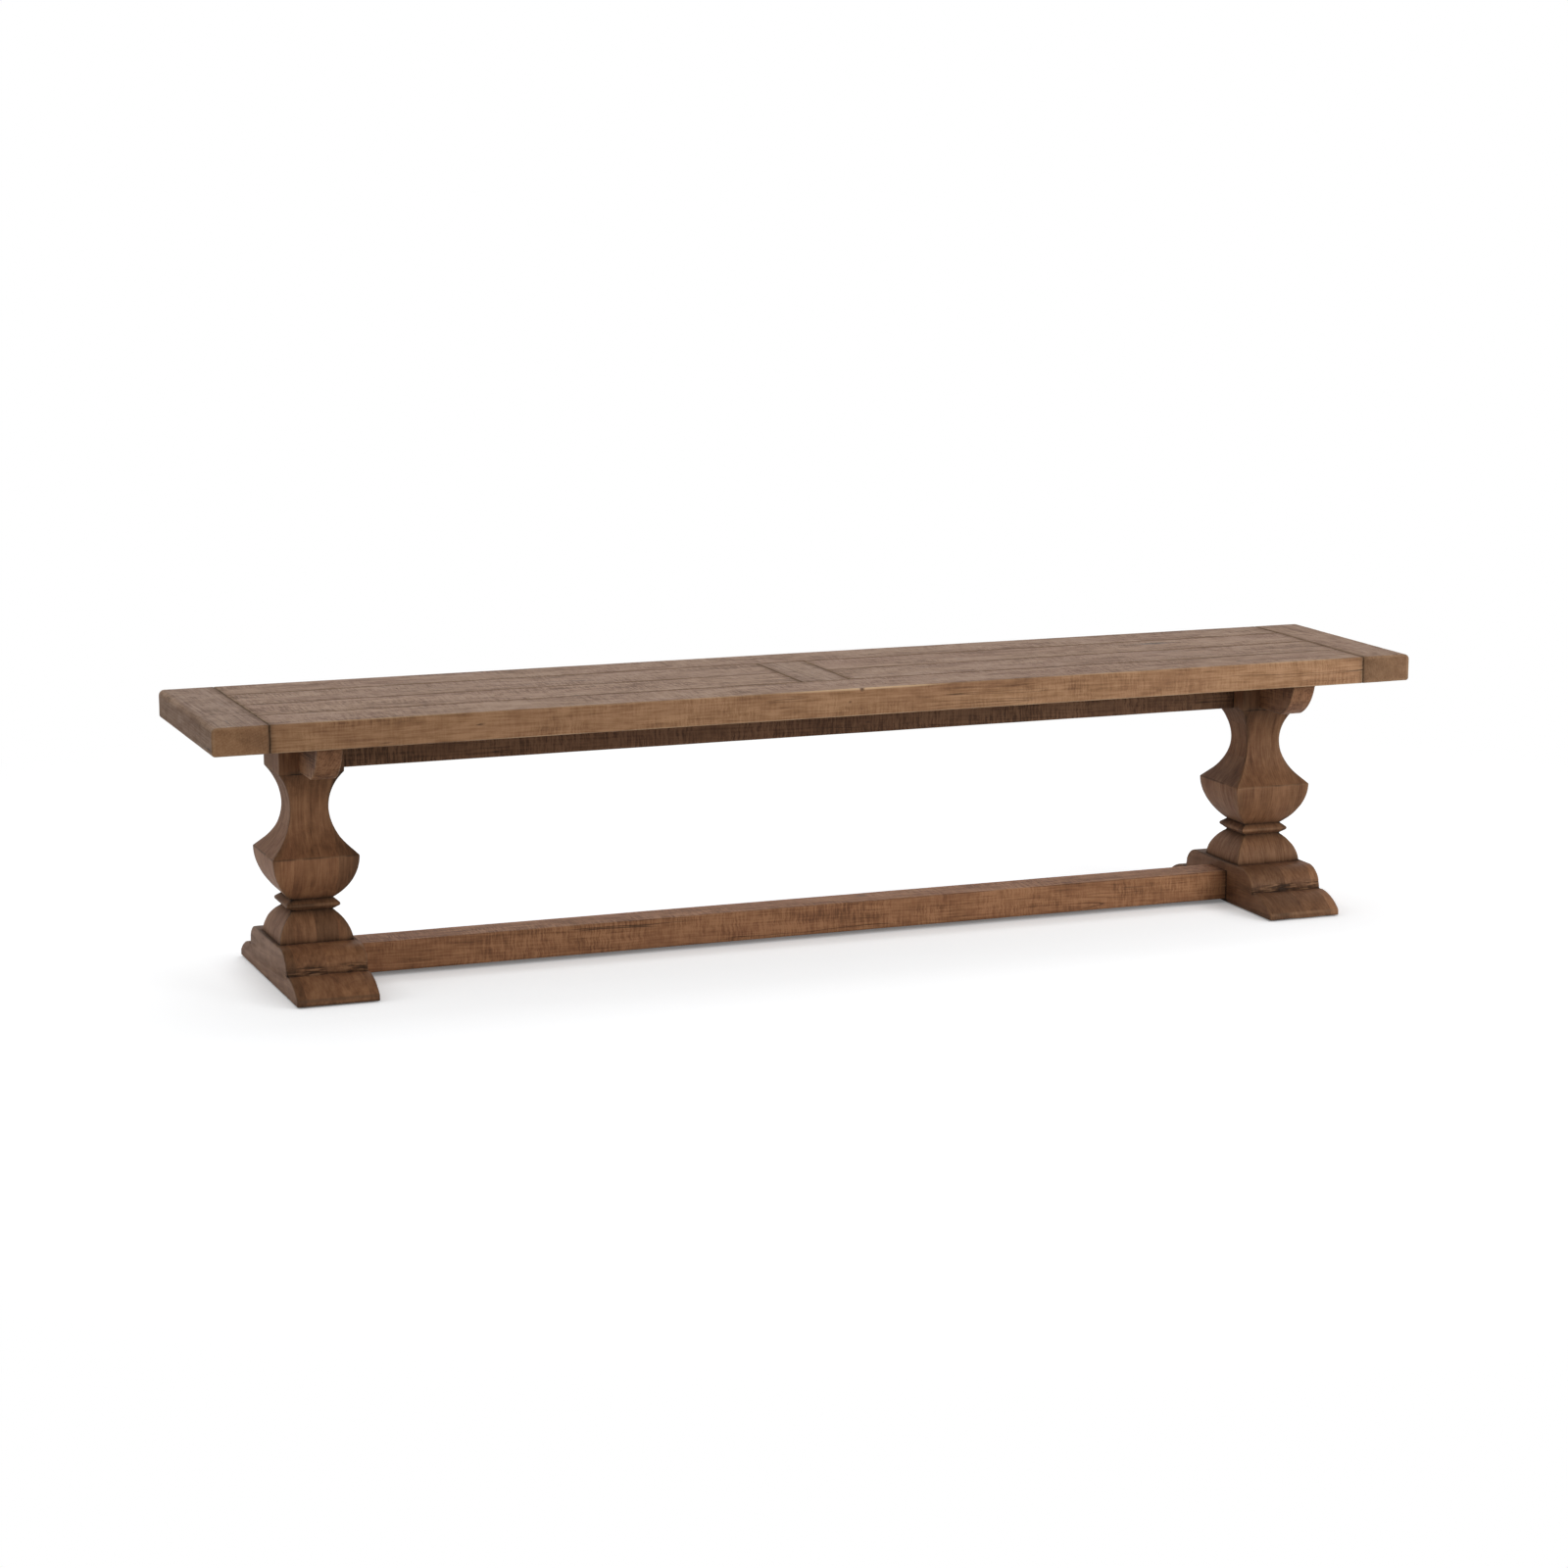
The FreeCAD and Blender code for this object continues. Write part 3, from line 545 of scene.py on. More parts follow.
def add(tree, kind, inputs=(), out=0, **settings):
    """Adds a node with its settings, links or sets its inputs, and gives back one of its outputs. A kind that
    doesn't say Node is a shader node."""
    node = tree.nodes.new(kind if "Node" in kind else "ShaderNode" + kind)
    for name, value in settings.items():
        setattr(node, name, value)
    for socket, value in dict(inputs).items():
        for source in value if isinstance(value, list) else [value]:
            if isinstance(source, bpy.types.NodeSocket):
                tree.links.new(source, node.inputs[socket])
            else:
                node.inputs[socket].default_value = source
    return node.outputs[out] if len(node.outputs) else node


def metres(sizes):
    return tuple(size * MM for size in sizes)


def new_material(name):
    material = bpy.data.materials.new(name)
    material.use_nodes = True
    material.node_tree.nodes.clear()
    return material, material.node_tree


# Wax over dark stain mirrors little straight on, and white at a glance
WAX_TINT = linear("#d2c2b5")
WAX_LEVEL = 0.45

# What the finish reads on the points
MARKS = ("stave", "edge", "crease", "end_grain", "tone", "figure", "wax", "sawn", "torn")

# Ways through the tree that drift: the way that is bent, the size of the drift along the fibres and then
# across them, how far it goes, both in millimetres, and its detail
STAVE_JUMP = 900.0
DRIFTS = {
    "path": ("spot", (330.0, 95.0, 95.0), (0.0, 14.0, 14.0), 2.0),
    "sawn_path": ("grain", (600.0, 7.0, 7.0), (5.0, 0.0, 0.0), 1.0),
}

# The wood's figure: the way that each pattern follows, its size in millimetres along the fibres and then
# across them, and its detail. Real fibres are finer than these, too fine to show at the size of the picture.
FIGURE = {
    "streak": ("path", (190.0, 7.0, 3.4), 5.0),
    "fibre": ("path", (48.0, 3.0, 2.6), 3.0),
    "blotch": ("spot", (170.0, 45.0, 45.0), 4.0),
    "mottle": ("spot", (34.0, 15.0, 15.0), 3.0),
    "blush": ("spot", (230.0, 60.0, 60.0), 3.0),
    "saw_mark": ("sawn_path", (3.4, 30.0, 30.0), 3.0),
    "patch": ("grain", (150.0, 60.0, 60.0), 2.0),
    "crack": ("path", (620.0, 10.0, 10.0), 0.0),
    "crack_patch": ("spot", (150.0, 32.0, 32.0), 0.0),
}
FIGURE_ROUGHNESS = 0.6
TORN_FIBRE = (26.0, 60.0, 2.6)
TORN_DETAIL = 3.0

# Knots, and the rings that bend round them
KNOT = (260.0, 120.0, 120.0)
KNOT_CHANCE = 0.12
KNOT_BEND = 16.0
KNOT_BEND_REACH = 0.24
KNOT_EDGE = (0.04, 0.08)
KNOT_STAIN = 0.55
RING_WIDTH = 4.2
LATE_WOOD = (0.2, 0.92)

# Shares: the pattern or mark that each reads, from which value to which, and the shares at both
SHARES = {
    "side_grain": ("end_grain", (0.5, 0.9), (1.0, 0.0)),
    "ring_share": ("end_grain", (0.5, 0.9), (-0.04, -0.05)),
    "saw_patch": ("patch", (0.40, 0.58), (0.3, 1.0)),
    "saw_step": ("saw_mark", (0.38, 0.62), (-0.5, 0.5)),
    "crack_line": ("crack_off", (0.005, 0.014), (1.0, 0.0)),
    "crack_place": ("crack_patch", (0.6, 0.67), (0.0, 1.0)),
    "red": ("blush", (0.42, 0.68), (0.0, 0.3)),
    "lot_tone": ("lot", (0.0, 1.0), (0.58, 1.16)),
    "gather": ("streak", (0.3, 0.7), (1.0, 0.7)),
    "gap": ("ragged", (0.47, 0.55), (0.0, 0.9)),
    "tuft": ("ragged", (0.38, 0.44), (0.5, 0.0)),
}
# Patches where the arrises are rubbed, with a painted highlight, and where they are dark, with stain and
# painted shade, and the least share of rubbing
RUB_AND_HIGHLIGHT_PATCH = (0.3, 0.64)
RUB_AND_HIGHLIGHT_LEAST = 0.1
EDGE_STAIN_AND_SHADE_PATCH = (0.44, 0.56)

# Shares that are multiplied, each in its turn
PRODUCTS = {
    "rings": ("late_wood", "ring_share"),
    "sawn_here": ("saw_patch", "side_grain", "sawn"),
    "kerf": ("saw_step", "sawn_here"),
    "check": ("crack_line", "crack_place", "side_grain", "sawn"),
    "blushed": ("red", "figure"),
    "stave_tone": ("lot_tone", "tone"),
    "rubbed": ("rub", "edge"),
    "dark_edge": ("edge_stain", "edge"),
    "gathered": ("gather", "crease"),
    "split": ("gap", "torn"),
    "lifted": ("tuft", "torn"),
}

# Weights of the shares in the tone from dark to light, in the dark stain and painted shade, and in the relief
# in millimetres
TONE_MIDDLE = 0.68
TONE_PARTS = {"streak": 0.34, "rings": 1.0, "blotch": 0.36, "mottle": 0.36, "fibre": 0.36}
STAIN_AND_SHADE_PARTS = {"dark_edge": 1.0, "check": 0.7, "knot": 1.0, "gathered": 0.9}
RELIEF_PARTS = {"kerf": -0.3, "streak": 0.30, "fibre": 0.18, "check": -0.6, "split": -0.8}
RELIEF_STRENGTH = 0.8
LOW_TONE = (-0.13, -0.02)
HIGH_TONE = (-0.02, 0.10)
ROUGH_TONE = (-0.16, 0.12)
STAIN_ROUGH = 0.4
BLEMISH_RAGGED = 0.9
BLEMISH_EDGE = (0.8, 1.5)


def stained_wood(name, colours, kerf_share, rub_and_highlight_share, edge_stain, rough_range, blemishes=()):
    """Rough-sawn, brushed and stained hardwood under a matt wax: long streaks, staggered saw marks across the
    grain, a few checks and knots, arrises rubbed with a painted highlight or darkened with stain and painted
    shade, stain and painted shade gathered in the creases, and torn grain."""
    material, tree = new_material(name)
    dark, middle, light, blush, worn_and_highlight, stain_and_shade_dark = (linear(colour) for colour in colours)
    share = {}
    for key in MARKS:
        share[key] = add(tree, "Attribute", out="Fac", attribute_name=key)
    ways = {"grain": add(tree, "Attribute", out="Vector", attribute_name="grain")}
    place = add(tree, "TexCoord", out="Object")

    # Each glued stave comes from another part of the tree, its fibres wander and its saw marks are staggered
    number = add(tree, "Math", {0: share["stave"]}, operation="FLOOR")
    lot = add(tree, "TexWhiteNoise", {"W": number}, out="Color", noise_dimensions="1D")
    share["lot"] = lot.node.outputs["Value"]
    jump = {0: lot, 1: (STAVE_JUMP,) * 3, 2: ways["grain"]}
    ways["spot"] = add(tree, "VectorMath", jump, operation="MULTIPLY_ADD")
    for key, (source, size, width, detail) in DRIFTS.items():
        slow = add(tree, "VectorMath", {0: ways[source], 1: size}, operation="DIVIDE")
        drift = add(tree, "TexNoise", {"Vector": slow, "Scale": 1.0, "Detail": detail}, out="Color")
        ways[key] = add(tree, "VectorMath", {0: drift, 1: width, 2: ways[source]}, operation="MULTIPLY_ADD")
    for key, (source, size, detail) in FIGURE.items():
        cell = add(tree, "VectorMath", {0: ways[source], 1: size}, operation="DIVIDE")
        look = {"Vector": cell, "Scale": 1.0, "Detail": detail, "Roughness": FIGURE_ROUGHNESS}
        share[key] = add(tree, "TexNoise", look)

    # A few knots, and the rings that bend round them
    cell = add(tree, "VectorMath", {0: ways["path"], 1: KNOT}, operation="DIVIDE")
    knot_way = add(tree, "TexVoronoi", {"Vector": cell, "Scale": 1.0}, out="Distance")
    chosen = add(tree, "SeparateColor", {0: knot_way.node.outputs["Color"]})
    chosen = add(tree, "Math", {0: chosen, 1: KNOT_CHANCE}, operation="LESS_THAN")
    swirl = add(tree, "MapRange", {0: knot_way, 1: 0.0, 2: KNOT_BEND_REACH, 3: KNOT_BEND, 4: 0.0},
                interpolation_type="SMOOTHERSTEP")
    knot = add(tree, "MapRange", {0: knot_way, 1: KNOT_EDGE[0], 2: KNOT_EDGE[1], 3: KNOT_STAIN, 4: 0.0},
               interpolation_type="SMOOTHSTEP")
    share["knot"] = add(tree, "Math", {0: knot, 1: chosen}, operation="MULTIPLY")
    across = add(tree, "VectorMath", {0: ways["path"], 1: (0.0, 1.0, 1.0)}, operation="MULTIPLY")
    pith = add(tree, "VectorMath", {0: across}, out="Value", operation="LENGTH")
    bent = add(tree, "Math", {0: swirl, 1: chosen, 2: pith}, operation="MULTIPLY_ADD")
    rings = add(tree, "Math", {0: bent, 1: RING_WIDTH}, operation="DIVIDE")
    ring = add(tree, "Math", {0: rings}, operation="FRACT")
    share["late_wood"] = add(tree, "MapRange", {0: ring, 1: LATE_WOOD[0], 2: LATE_WOOD[1], 3: 0.0, 4: 1.0},
                             interpolation_type="SMOOTHSTEP")

    # Checks follow the middle value of their pattern, and torn fibres lie along the foot
    off = add(tree, "Math", {0: share["crack"], 1: 0.5}, operation="SUBTRACT")
    share["crack_off"] = add(tree, "Math", {0: off}, operation="ABSOLUTE")
    cell = add(tree, "VectorMath", {0: place, 1: metres(TORN_FIBRE)}, operation="DIVIDE")
    share["ragged"] = add(tree, "TexNoise", {"Vector": cell, "Scale": 1.0, "Detail": TORN_DETAIL})

    # Shares, their products and their sums
    # Arrises rubbed, with a painted highlight, or dark, with stain and painted shade
    arrises = {"rub": ("patch", RUB_AND_HIGHLIGHT_PATCH, (RUB_AND_HIGHLIGHT_LEAST, rub_and_highlight_share)),
               "edge_stain": ("patch", EDGE_STAIN_AND_SHADE_PATCH, (edge_stain, 0.0))}
    for key, (source, span, ends) in (SHARES | arrises).items():
        reads = {0: share[source], 1: span[0], 2: span[1], 3: ends[0], 4: ends[1]}
        share[key] = add(tree, "MapRange", reads)
    for key, factors in PRODUCTS.items():
        share[key] = share[factors[0]]
        for factor in factors[1:]:
            share[key] = add(tree, "Math", {0: share[key], 1: share[factor]}, operation="MULTIPLY")
    for key, start, parts in (("light", -TONE_MIDDLE, TONE_PARTS | {"kerf": -kerf_share}),
                              ("stain", 0.0, STAIN_AND_SHADE_PARTS), ("relief", 0.0, RELIEF_PARTS)):
        for part, weight in parts.items():
            start = add(tree, "Math", {0: share[part], 1: weight, 2: start}, operation="MULTIPLY_ADD")
        share[key] = start
    tone = add(tree, "Math", {0: share["light"], 1: share["figure"]}, operation="MULTIPLY")
    for key, span, ends in (("low", LOW_TONE, (0.0, 1.0)), ("high", HIGH_TONE, (0.0, 1.0)),
                            ("rough", ROUGH_TONE, rough_range)):
        share[key] = add(tree, "MapRange", {0: tone, 1: span[0], 2: span[1], 3: ends[0], 4: ends[1]})

    # Colour from dark streaks to light ones, each stave lighter or darker, with painted light and shade on
    # some faces, then rubbed with a painted highlight, darkened with stain and painted shade, and torn
    colour = dark
    for key, tint in (("low", middle), ("high", light), ("blushed", blush)):
        colour = add(tree, "Mix", {0: share[key], 6: colour, 7: tint}, out=2, data_type="RGBA")
    colour = add(tree, "VectorMath", {0: colour, "Scale": share["stave_tone"]}, operation="SCALE")
    for key, tint in (("rubbed", worn_and_highlight), ("stain", stain_and_shade_dark), ("split", stain_and_shade_dark), ("lifted", worn_and_highlight)):
        colour = add(tree, "Mix", {0: share[key], 6: colour, 7: tint}, out=2, data_type="RGBA")

    # Blemishes seen at known places
    for centre, sizes, tint, most in blemishes:
        way = add(tree, "VectorMath", {0: place, 1: metres(centre)}, operation="SUBTRACT")
        way = add(tree, "VectorMath", {0: way, 1: metres(sizes)}, operation="DIVIDE")
        way = add(tree, "VectorMath", {0: way}, out="Value", operation="LENGTH")
        way = add(tree, "Math", {0: share["streak"], 1: BLEMISH_RAGGED, 2: way}, operation="MULTIPLY_ADD")
        spread = add(tree, "MapRange", {0: way, 1: BLEMISH_EDGE[0], 2: BLEMISH_EDGE[1], 3: most, 4: 0.0})
        colour = add(tree, "Mix", {0: spread, 6: colour, 7: linear(tint)}, out=2, data_type="RGBA")

    bump = add(tree, "Bump", {"Height": share["relief"], "Strength": RELIEF_STRENGTH, "Distance": MM})
    rough = add(tree, "Math", {0: share["gathered"], 1: STAIN_ROUGH, 2: share["rough"]},
                operation="MULTIPLY_ADD", use_clamp=True)
    wax = add(tree, "Math", {0: share["wax"], 1: WAX_LEVEL}, operation="MULTIPLY")
    look = {"Base Color": colour, "Roughness": rough, "Normal": bump, "Specular IOR Level": wax,
            "Specular Tint": WAX_TINT}
    shader = add(tree, "BsdfPrincipled", look)
    add(tree, "OutputMaterial", {"Surface": shader})
    return material


# Places on the seat that the wear, with a painted highlight along the front arris, and a knot mark: centre,
# size each way, colour and share
SEAT_BLEMISHES = (
    # A light worn line with a painted highlight along the front arris
    ((28.0, -200.0, 461.0), (170.0, 4.0, 2.6), "#dcb891", 0.8),
    ((27.0, -200.0, 460.0), (5.5, 6.0, 4.5), "#4a2c1c", 0.85),
    ((6.0, -201.0, 440.0), (3.5, 4.0, 2.5), "#54341f", 0.7),
    ((-486.0, 31.0, 462.0), (20.0, 3.5, 6.0), "#3f2a20", 0.85),
    ((-440.0, 48.0, 462.0), (42.0, 2.5, 6.0), "#54392c", 0.7),
)

# Dark streaks, middle tone, light streaks, red blush, rubbed arrises with a painted highlight, and the dark
# stain and painted shade in the creases
SEAT_COLOURS = ("#6c4a32", "#906948", "#ab825f", "#8d6049", "#c8a683", "#1f120b")
BASE_COLOURS = ("#5b3c27", "#7b5438", "#946a4a", "#764a36", "#ae8764", "#1b0f09")
seat_wood = stained_wood("rough_sawn_wood_light_brown_wax", SEAT_COLOURS, kerf_share=0.15, rub_and_highlight_share=0.7,
                         edge_stain=0.1, rough_range=(0.67, 0.47), blemishes=SEAT_BLEMISHES)
base_wood = stained_wood("rough_sawn_wood_warm_brown_stain", BASE_COLOURS, kerf_share=0.22, rub_and_highlight_share=0.25,
                         edge_stain=0.4, rough_range=(0.70, 0.55))

ROUGH_PATTERN = (0.3, 0.7)


def fine_finish(name, size, detail, tints, rough, strength, depth, tinted=None, relief=None, metallic=0.0):
    """Plain material with a fine pattern, which tints it and, for a range of roughness, roughens it. Sizes
    and the depth are millimetres, and relief gives another size and detail to the bumps."""
    material, tree = new_material(name)
    place = add(tree, "TexCoord", out="Object")
    patterns = []
    for cell, fineness in ((size, detail), relief or (size, detail)):
        way = add(tree, "VectorMath", {0: place, 1: metres(cell)}, operation="DIVIDE")
        patterns.append(add(tree, "TexNoise", {"Vector": way, "Scale": 1.0, "Detail": fineness}))
    fine, bumps = patterns
    if isinstance(rough, tuple):
        low, high = ROUGH_PATTERN
        rough = add(tree, "MapRange", {0: fine, 1: low, 2: high, 3: rough[0], 4: rough[1]})
    if tinted:
        low, high, most = tinted
        fine = add(tree, "MapRange", {0: fine, 1: low, 2: high, 3: 0.0, 4: most})
    first, second = tints
    colour = add(tree, "Mix", {0: fine, 6: linear(first), 7: linear(second)}, out=2, data_type="RGBA")
    bump = add(tree, "Bump", {"Height": bumps, "Strength": strength, "Distance": depth * MM})
    look = {"Base Color": colour, "Metallic": metallic, "Roughness": rough, "Normal": bump}
    shader = add(tree, "BsdfPrincipled", look)
    add(tree, "OutputMaterial", {"Surface": shader})
    return material


# Zinc-plated steel: grey metal with a faint cloudy bloom and fine turning marks
steel = fine_finish("zinc_plated_steel", size=(12.0, 12.0, 12.0), detail=3.0, tints=("#8f9090", "#c3c2ba"),
                    rough=(0.32, 0.5), strength=0.3, depth=0.05, relief=((50 / 3, 50 / 3, 0.8), 1.0),
                    metallic=1.0)

# Plain beech dowels, pale and close-grained with short dark flecks
beech = fine_finish("beech_dowel", size=(1.2, 1.2, 8.0), detail=2.0, tints=("#c9a67c", "#9c7448"),
                    rough=0.6, strength=0.3, depth=0.2, tinted=(0.45, 0.7, 0.6))

# Dark brown moulded nylon, satin, scuffed a little where it slides
nylon = fine_finish("moulded_nylon", size=(3.0, 3.0, 3.0), detail=4.0, tints=("#2b211b", "#4a3d34"),
                    rough=(0.4, 0.62), strength=0.2, depth=0.1)


# Seat boards

SEAM_ROUND = (SEAM_BEVEL,) * 4
LONG_SEAM_ROUND = (LONG_SEAM_BEVEL,) * 4
# How much of the rubbing, painted highlight and painted shade the end boards' arrises get
END_BOARD_RUB_AND_HIGHLIGHT = 0.3
SEAT_CHIP = 0.3
SEAM_REACH = {X: 3.8, Y: 2.1}
OUTER_EDGE = 1.0


def seam_crease(axis, span, a_span):
    """Darkness of the stain in the seams round a board, and none at the seat's own outer edges."""
    outer = (seat_end, seat_half)
    edges = [(axis, s) for s in span] + [(1 - axis, a) for a in a_span]
    seams = [(way, place) for way, place in edges if abs(place) < outer[way] - OUTER_EDGE]
    return lambda p: max(fade(abs(p[way] - place), SEAM_REACH[way]) for way, place in seams)


def seat_board(node, axis, span, a_span, radii, end_depth, end_insets):
    piece = stick(node + "_board", axis, span, a_span, (under_z, seat_z), radii, end_depth, end_insets)
    weather(piece, SEAT_CHIP)
    rubbed, figure = (END_BOARD_RUB_AND_HIGHLIGHT, END_BOARD_FIGURE) if node.startswith("end_board") else (1.0, SEAT_FIGURE)
    mark(piece, node, axis, lambda points, normals: points[:, (Z, 1 - axis)], seam_crease(axis, span, a_span),
         rubbed=rubbed, tone=SEAT_TONE_AND_SHADE, figure=figure)
    finish_piece(piece, node, seat_wood)


def seat():
    """Two end boards with the grain across, long rails, one cross rail and two planks in each bay."""
    long_span = (-seam_x, seam_x)
    rounds = (UNDER_EDGE_ROUND, LONG_SEAM_BEVEL, LONG_SEAM_BEVEL, LONG_EDGE_ROUND)
    seat_board("front_rail", X, long_span, (-seat_half, -seam_y), rounds, SEAM_BEVEL, SEAM_ROUND)
    rounds = (LONG_SEAM_BEVEL, UNDER_EDGE_ROUND, LONG_EDGE_ROUND, LONG_SEAM_BEVEL)
    seat_board("rear_rail", X, long_span, (seam_y, seat_half), rounds, SEAM_BEVEL, SEAM_ROUND)
    seat_board("cross_rail", Y, (-seam_y, seam_y), (-cross_half, cross_half), SEAM_ROUND, LONG_SEAM_BEVEL,
               LONG_SEAM_ROUND)
    for side, name in SIDES.items():
        span = sorted((side * cross_half, side * seam_x))
        for row, a_span in (("front", (-seam_y, 0.0)), ("rear", (0.0, seam_y))):
            seat_board("plank_%s_%s" % (name, row), X, span, a_span, LONG_SEAM_ROUND, SEAM_BEVEL, SEAM_ROUND)
        rounds = [SEAM_BEVEL, END_UNDER_ROUND, END_EDGE_ROUND, SEAM_BEVEL]
        insets = [SEAM_BEVEL, PLAN_CORNER_ROUND, UNDER_EDGE_ROUND, LONG_EDGE_ROUND]
        if side == LEFT:
            rounds = [rounds[i] for i in (1, 0, 3, 2)]
            insets = [insets[i] for i in (1, 0, 2, 3)]
        ends = sorted((side * seam_x, side * seat_end))
        seat_board("end_board_" + name, Y, (-seat_half, seat_half), ends, rounds, LONG_EDGE_ROUND, insets)


# Fasteners, and the pockets that they sit in, seen from below
ROD_ROOT = 9.0
ROD_END = 3.0
ROD_NUT = 8.0
ROD_NUT_FLATS = 16.0
ROD_WASHER = 2.0
ROD_WASHER_WIDTH = 20.0
ROD_POCKET = 26.0
BOLT_HEAD = 5.3
BOLT_FLATS = 13.0
BOLT_WASHER = 1.6
BOLT_WASHER_WIDTH = 16.0
SCREW_HEAD = 3.5
SCREW_HEAD_WIDTH = 10.0
SCREW_TIP = 7.0
SCREW_POCKET = 12.0
POCKET_START = 5.0
SAME_POINT = 1e-6


def solids_of(node):
    """Lowest and highest corners of each separate solid of a CAD node, in millimetres."""
    work = bmesh.new()
    work.from_mesh(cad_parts[node].data)
    bmesh.ops.remove_doubles(work, verts=work.verts, dist=SAME_POINT)
    seen = set()
    boxes = []
    for vertex in work.verts:
        if vertex in seen:
            continue
        group = [vertex]
        seen.add(vertex)
        for member in group:
            for link in member.link_edges:
                other = link.other_vert(member)
                if other not in seen:
                    seen.add(other)
                    group.append(other)
        points = np.array([v.co for v in group]) / MM
        boxes.append((points.min(axis=0), points.max(axis=0)))
    work.free()
    return boxes


def pockets(node, floor, diameter, spare):
    """Round pockets from below for the heads of a node's screws or nuts, up to spare over each low end."""
    return [(*(low + high)[:2] / 2, floor - POCKET_START, low[Z] + spare, diameter)
            for low, high in solids_of(node)]


# Chips, and painted shade in the corners, under the seat, down the neck and near the floor, a dark painted
# line on the urn's widest edge, and the torn band's stain: how far it reaches in millimetres, and its share
# where that is less than 1
BASE_CHIP = 0.5
MEET_REACH = 6.0
CORNER_REACH = 5.0
APRON_TOP_SHADE = (8.0, 0.9)
STRETCHER_FLOOR_SHADE = (3.0, 0.4)
FOOT_FLOOR_SHADE = (4.0, 0.45)
NECK_SHADE = (70.0, 0.75)
BLOCK_SHADE = 0.42
URN_EDGE_SHADE = (1.2, 0.35)
PLINTH_SHADE_DEPTH = 2.0
STRETCHER_SHADE_DEPTH = 1.0
LEDGE_REACH = 4.0
TORN_STAIN = 0.35


# Rails under the seat and between the feet

APRON_SAW_MARKS = 1.8
BEAM_END_ROUND = 0.4
HIDDEN_ROUND = 0.4


def long_beam(node, reach, half_width, z_span, radii, holes, crease, sawn):
    across = (-half_width, half_width)
    ends = (BEAM_END_ROUND,) * 4
    piece = stick(node + "_beam", X, (-reach, reach), across, z_span, radii, BEAM_END_ROUND, ends)
    weather(piece, BASE_CHIP)
    if holes:
        bored(piece, holes)
    mark(piece, node, X, lambda points, normals: points[:, 1:], crease, sawn=sawn, figure=BEAM_FIGURE)
    finish_piece(piece, node, base_wood)


def rails():
    """Apron under the seat and stretcher between the feet, with painted shade where they meet other pieces,
    under the seat and along the stretcher's bottom.
    """
    block_face = pedestal_x - block_half
    low, high = stretcher_low[Z], stretcher_high[Z]

    # Painted shade by the blocks and under the seat
    def apron_crease(p):
        return max(fade(block_face - abs(p[X]), MEET_REACH), fade(under_z - p[Z], *APRON_TOP_SHADE))

    # Painted shade by the feet and along the stretcher's bottom
    def stretcher_crease(p):
        return max(fade(foot_face - abs(p[X]), MEET_REACH), fade(p[Z] - low, *STRETCHER_FLOOR_SHADE))

    rounds = (STICK_ARRIS, STICK_ARRIS, HIDDEN_ROUND, HIDDEN_ROUND)
    holes = pockets("apron_screws", rails_z, SCREW_POCKET, SCREW_HEAD)
    long_beam("apron_beam", block_face, apron_high[Y], (rails_z, under_z), rounds, holes, apron_crease,
              sawn=APRON_SAW_MARKS)
    rounds = (STICK_ARRIS,) * 4
    long_beam("stretcher", foot_face, stretcher_high[Y], (low, high), rounds, (), stretcher_crease, sawn=1.0)


# Pedestals

PEDESTAL_STAVE = 37.0
FOOT_STAVE = 52.0
FOOT_GRAIN_BROAD = (1.4, 3.0)
SHAPED_SAW_MARKS = 0.15
NOSE_STEP = FINE_STEP * 2
CURVE_STEP = FINE_STEP * 1.5

# Torn band over the ledge of a foot: its depth, its middle, its reach up and inwards, and its breaks
TORN_DEPTH = 1.2
TORN_RISE = 5.0
TORN_REACH = 2.5
TORN_INSET = 4.0
TORN_INSET_REACH = 3.0
TORN_BREAK = (40, 60, 12)
TORN_MIDDLE = 0.75
TORN_RANGE = 0.8


def baluster_outline():
    """Half widths and heights from the collar up: bowl, straight shoulder, hollow neck and block."""
    stem = (stem_half, collar_z)
    urn = (urn_half, collar_z + URN_RISE)
    neck = (NECK_WIDTH / 2, rails_z - NECK_DROP)
    block = (block_half, rails_z)
    out = urn[0] - neck[0]
    down = neck[1] - urn[1]
    radius = (out ** 2 + down ** 2 - SHOULDER_FLAT ** 2) / (2 * out)
    angle = math.atan2(-down, out - radius) - math.acos(radius / math.hypot(out - radius, down))
    touch = (neck[0] + radius + radius * math.cos(angle), neck[1] + radius * math.sin(angle))
    cove = ((block[0] - neck[0]) ** 2 + NECK_DROP ** 2) / (2 * (block[0] - neck[0]))
    points = [stem] + arc_points(stem, urn, BOWL_RADIUS, 1, FINE_STEP)
    points += line_points(urn, touch, FINE_STEP)
    points += arc_points(touch, neck, radius, -1, FINE_STEP)
    points += arc_points(neck, block, cove, -1, FINE_STEP)
    return points + line_points(block, (block[0], under_z), LONG_STEP)


def collar_outline():
    flat = collar_half - COLLAR_NOSE_BULGE
    middle = (plinth_z + collar_z) / 2
    low = (flat, middle - COLLAR_NOSE_HEIGHT / 2)
    high = (flat, middle + COLLAR_NOSE_HEIGHT / 2)
    points = [(stem_half, plinth_z)] + line_points((stem_half, plinth_z), low, FINE_STEP)
    points += [(collar_half, middle), high]
    return points + line_points(high, (stem_half, collar_z), FINE_STEP)


def plinth_outline():
    start = (plinth_half, foot_z)
    dome = (stem_half + PLINTH_NECK_STEP, plinth_z - PLINTH_NECK_HEIGHT)
    return [start] + arc_points(start, dome, PLINTH_DOME_RADIUS, 1, FINE_STEP) + [(stem_half, plinth_z)]


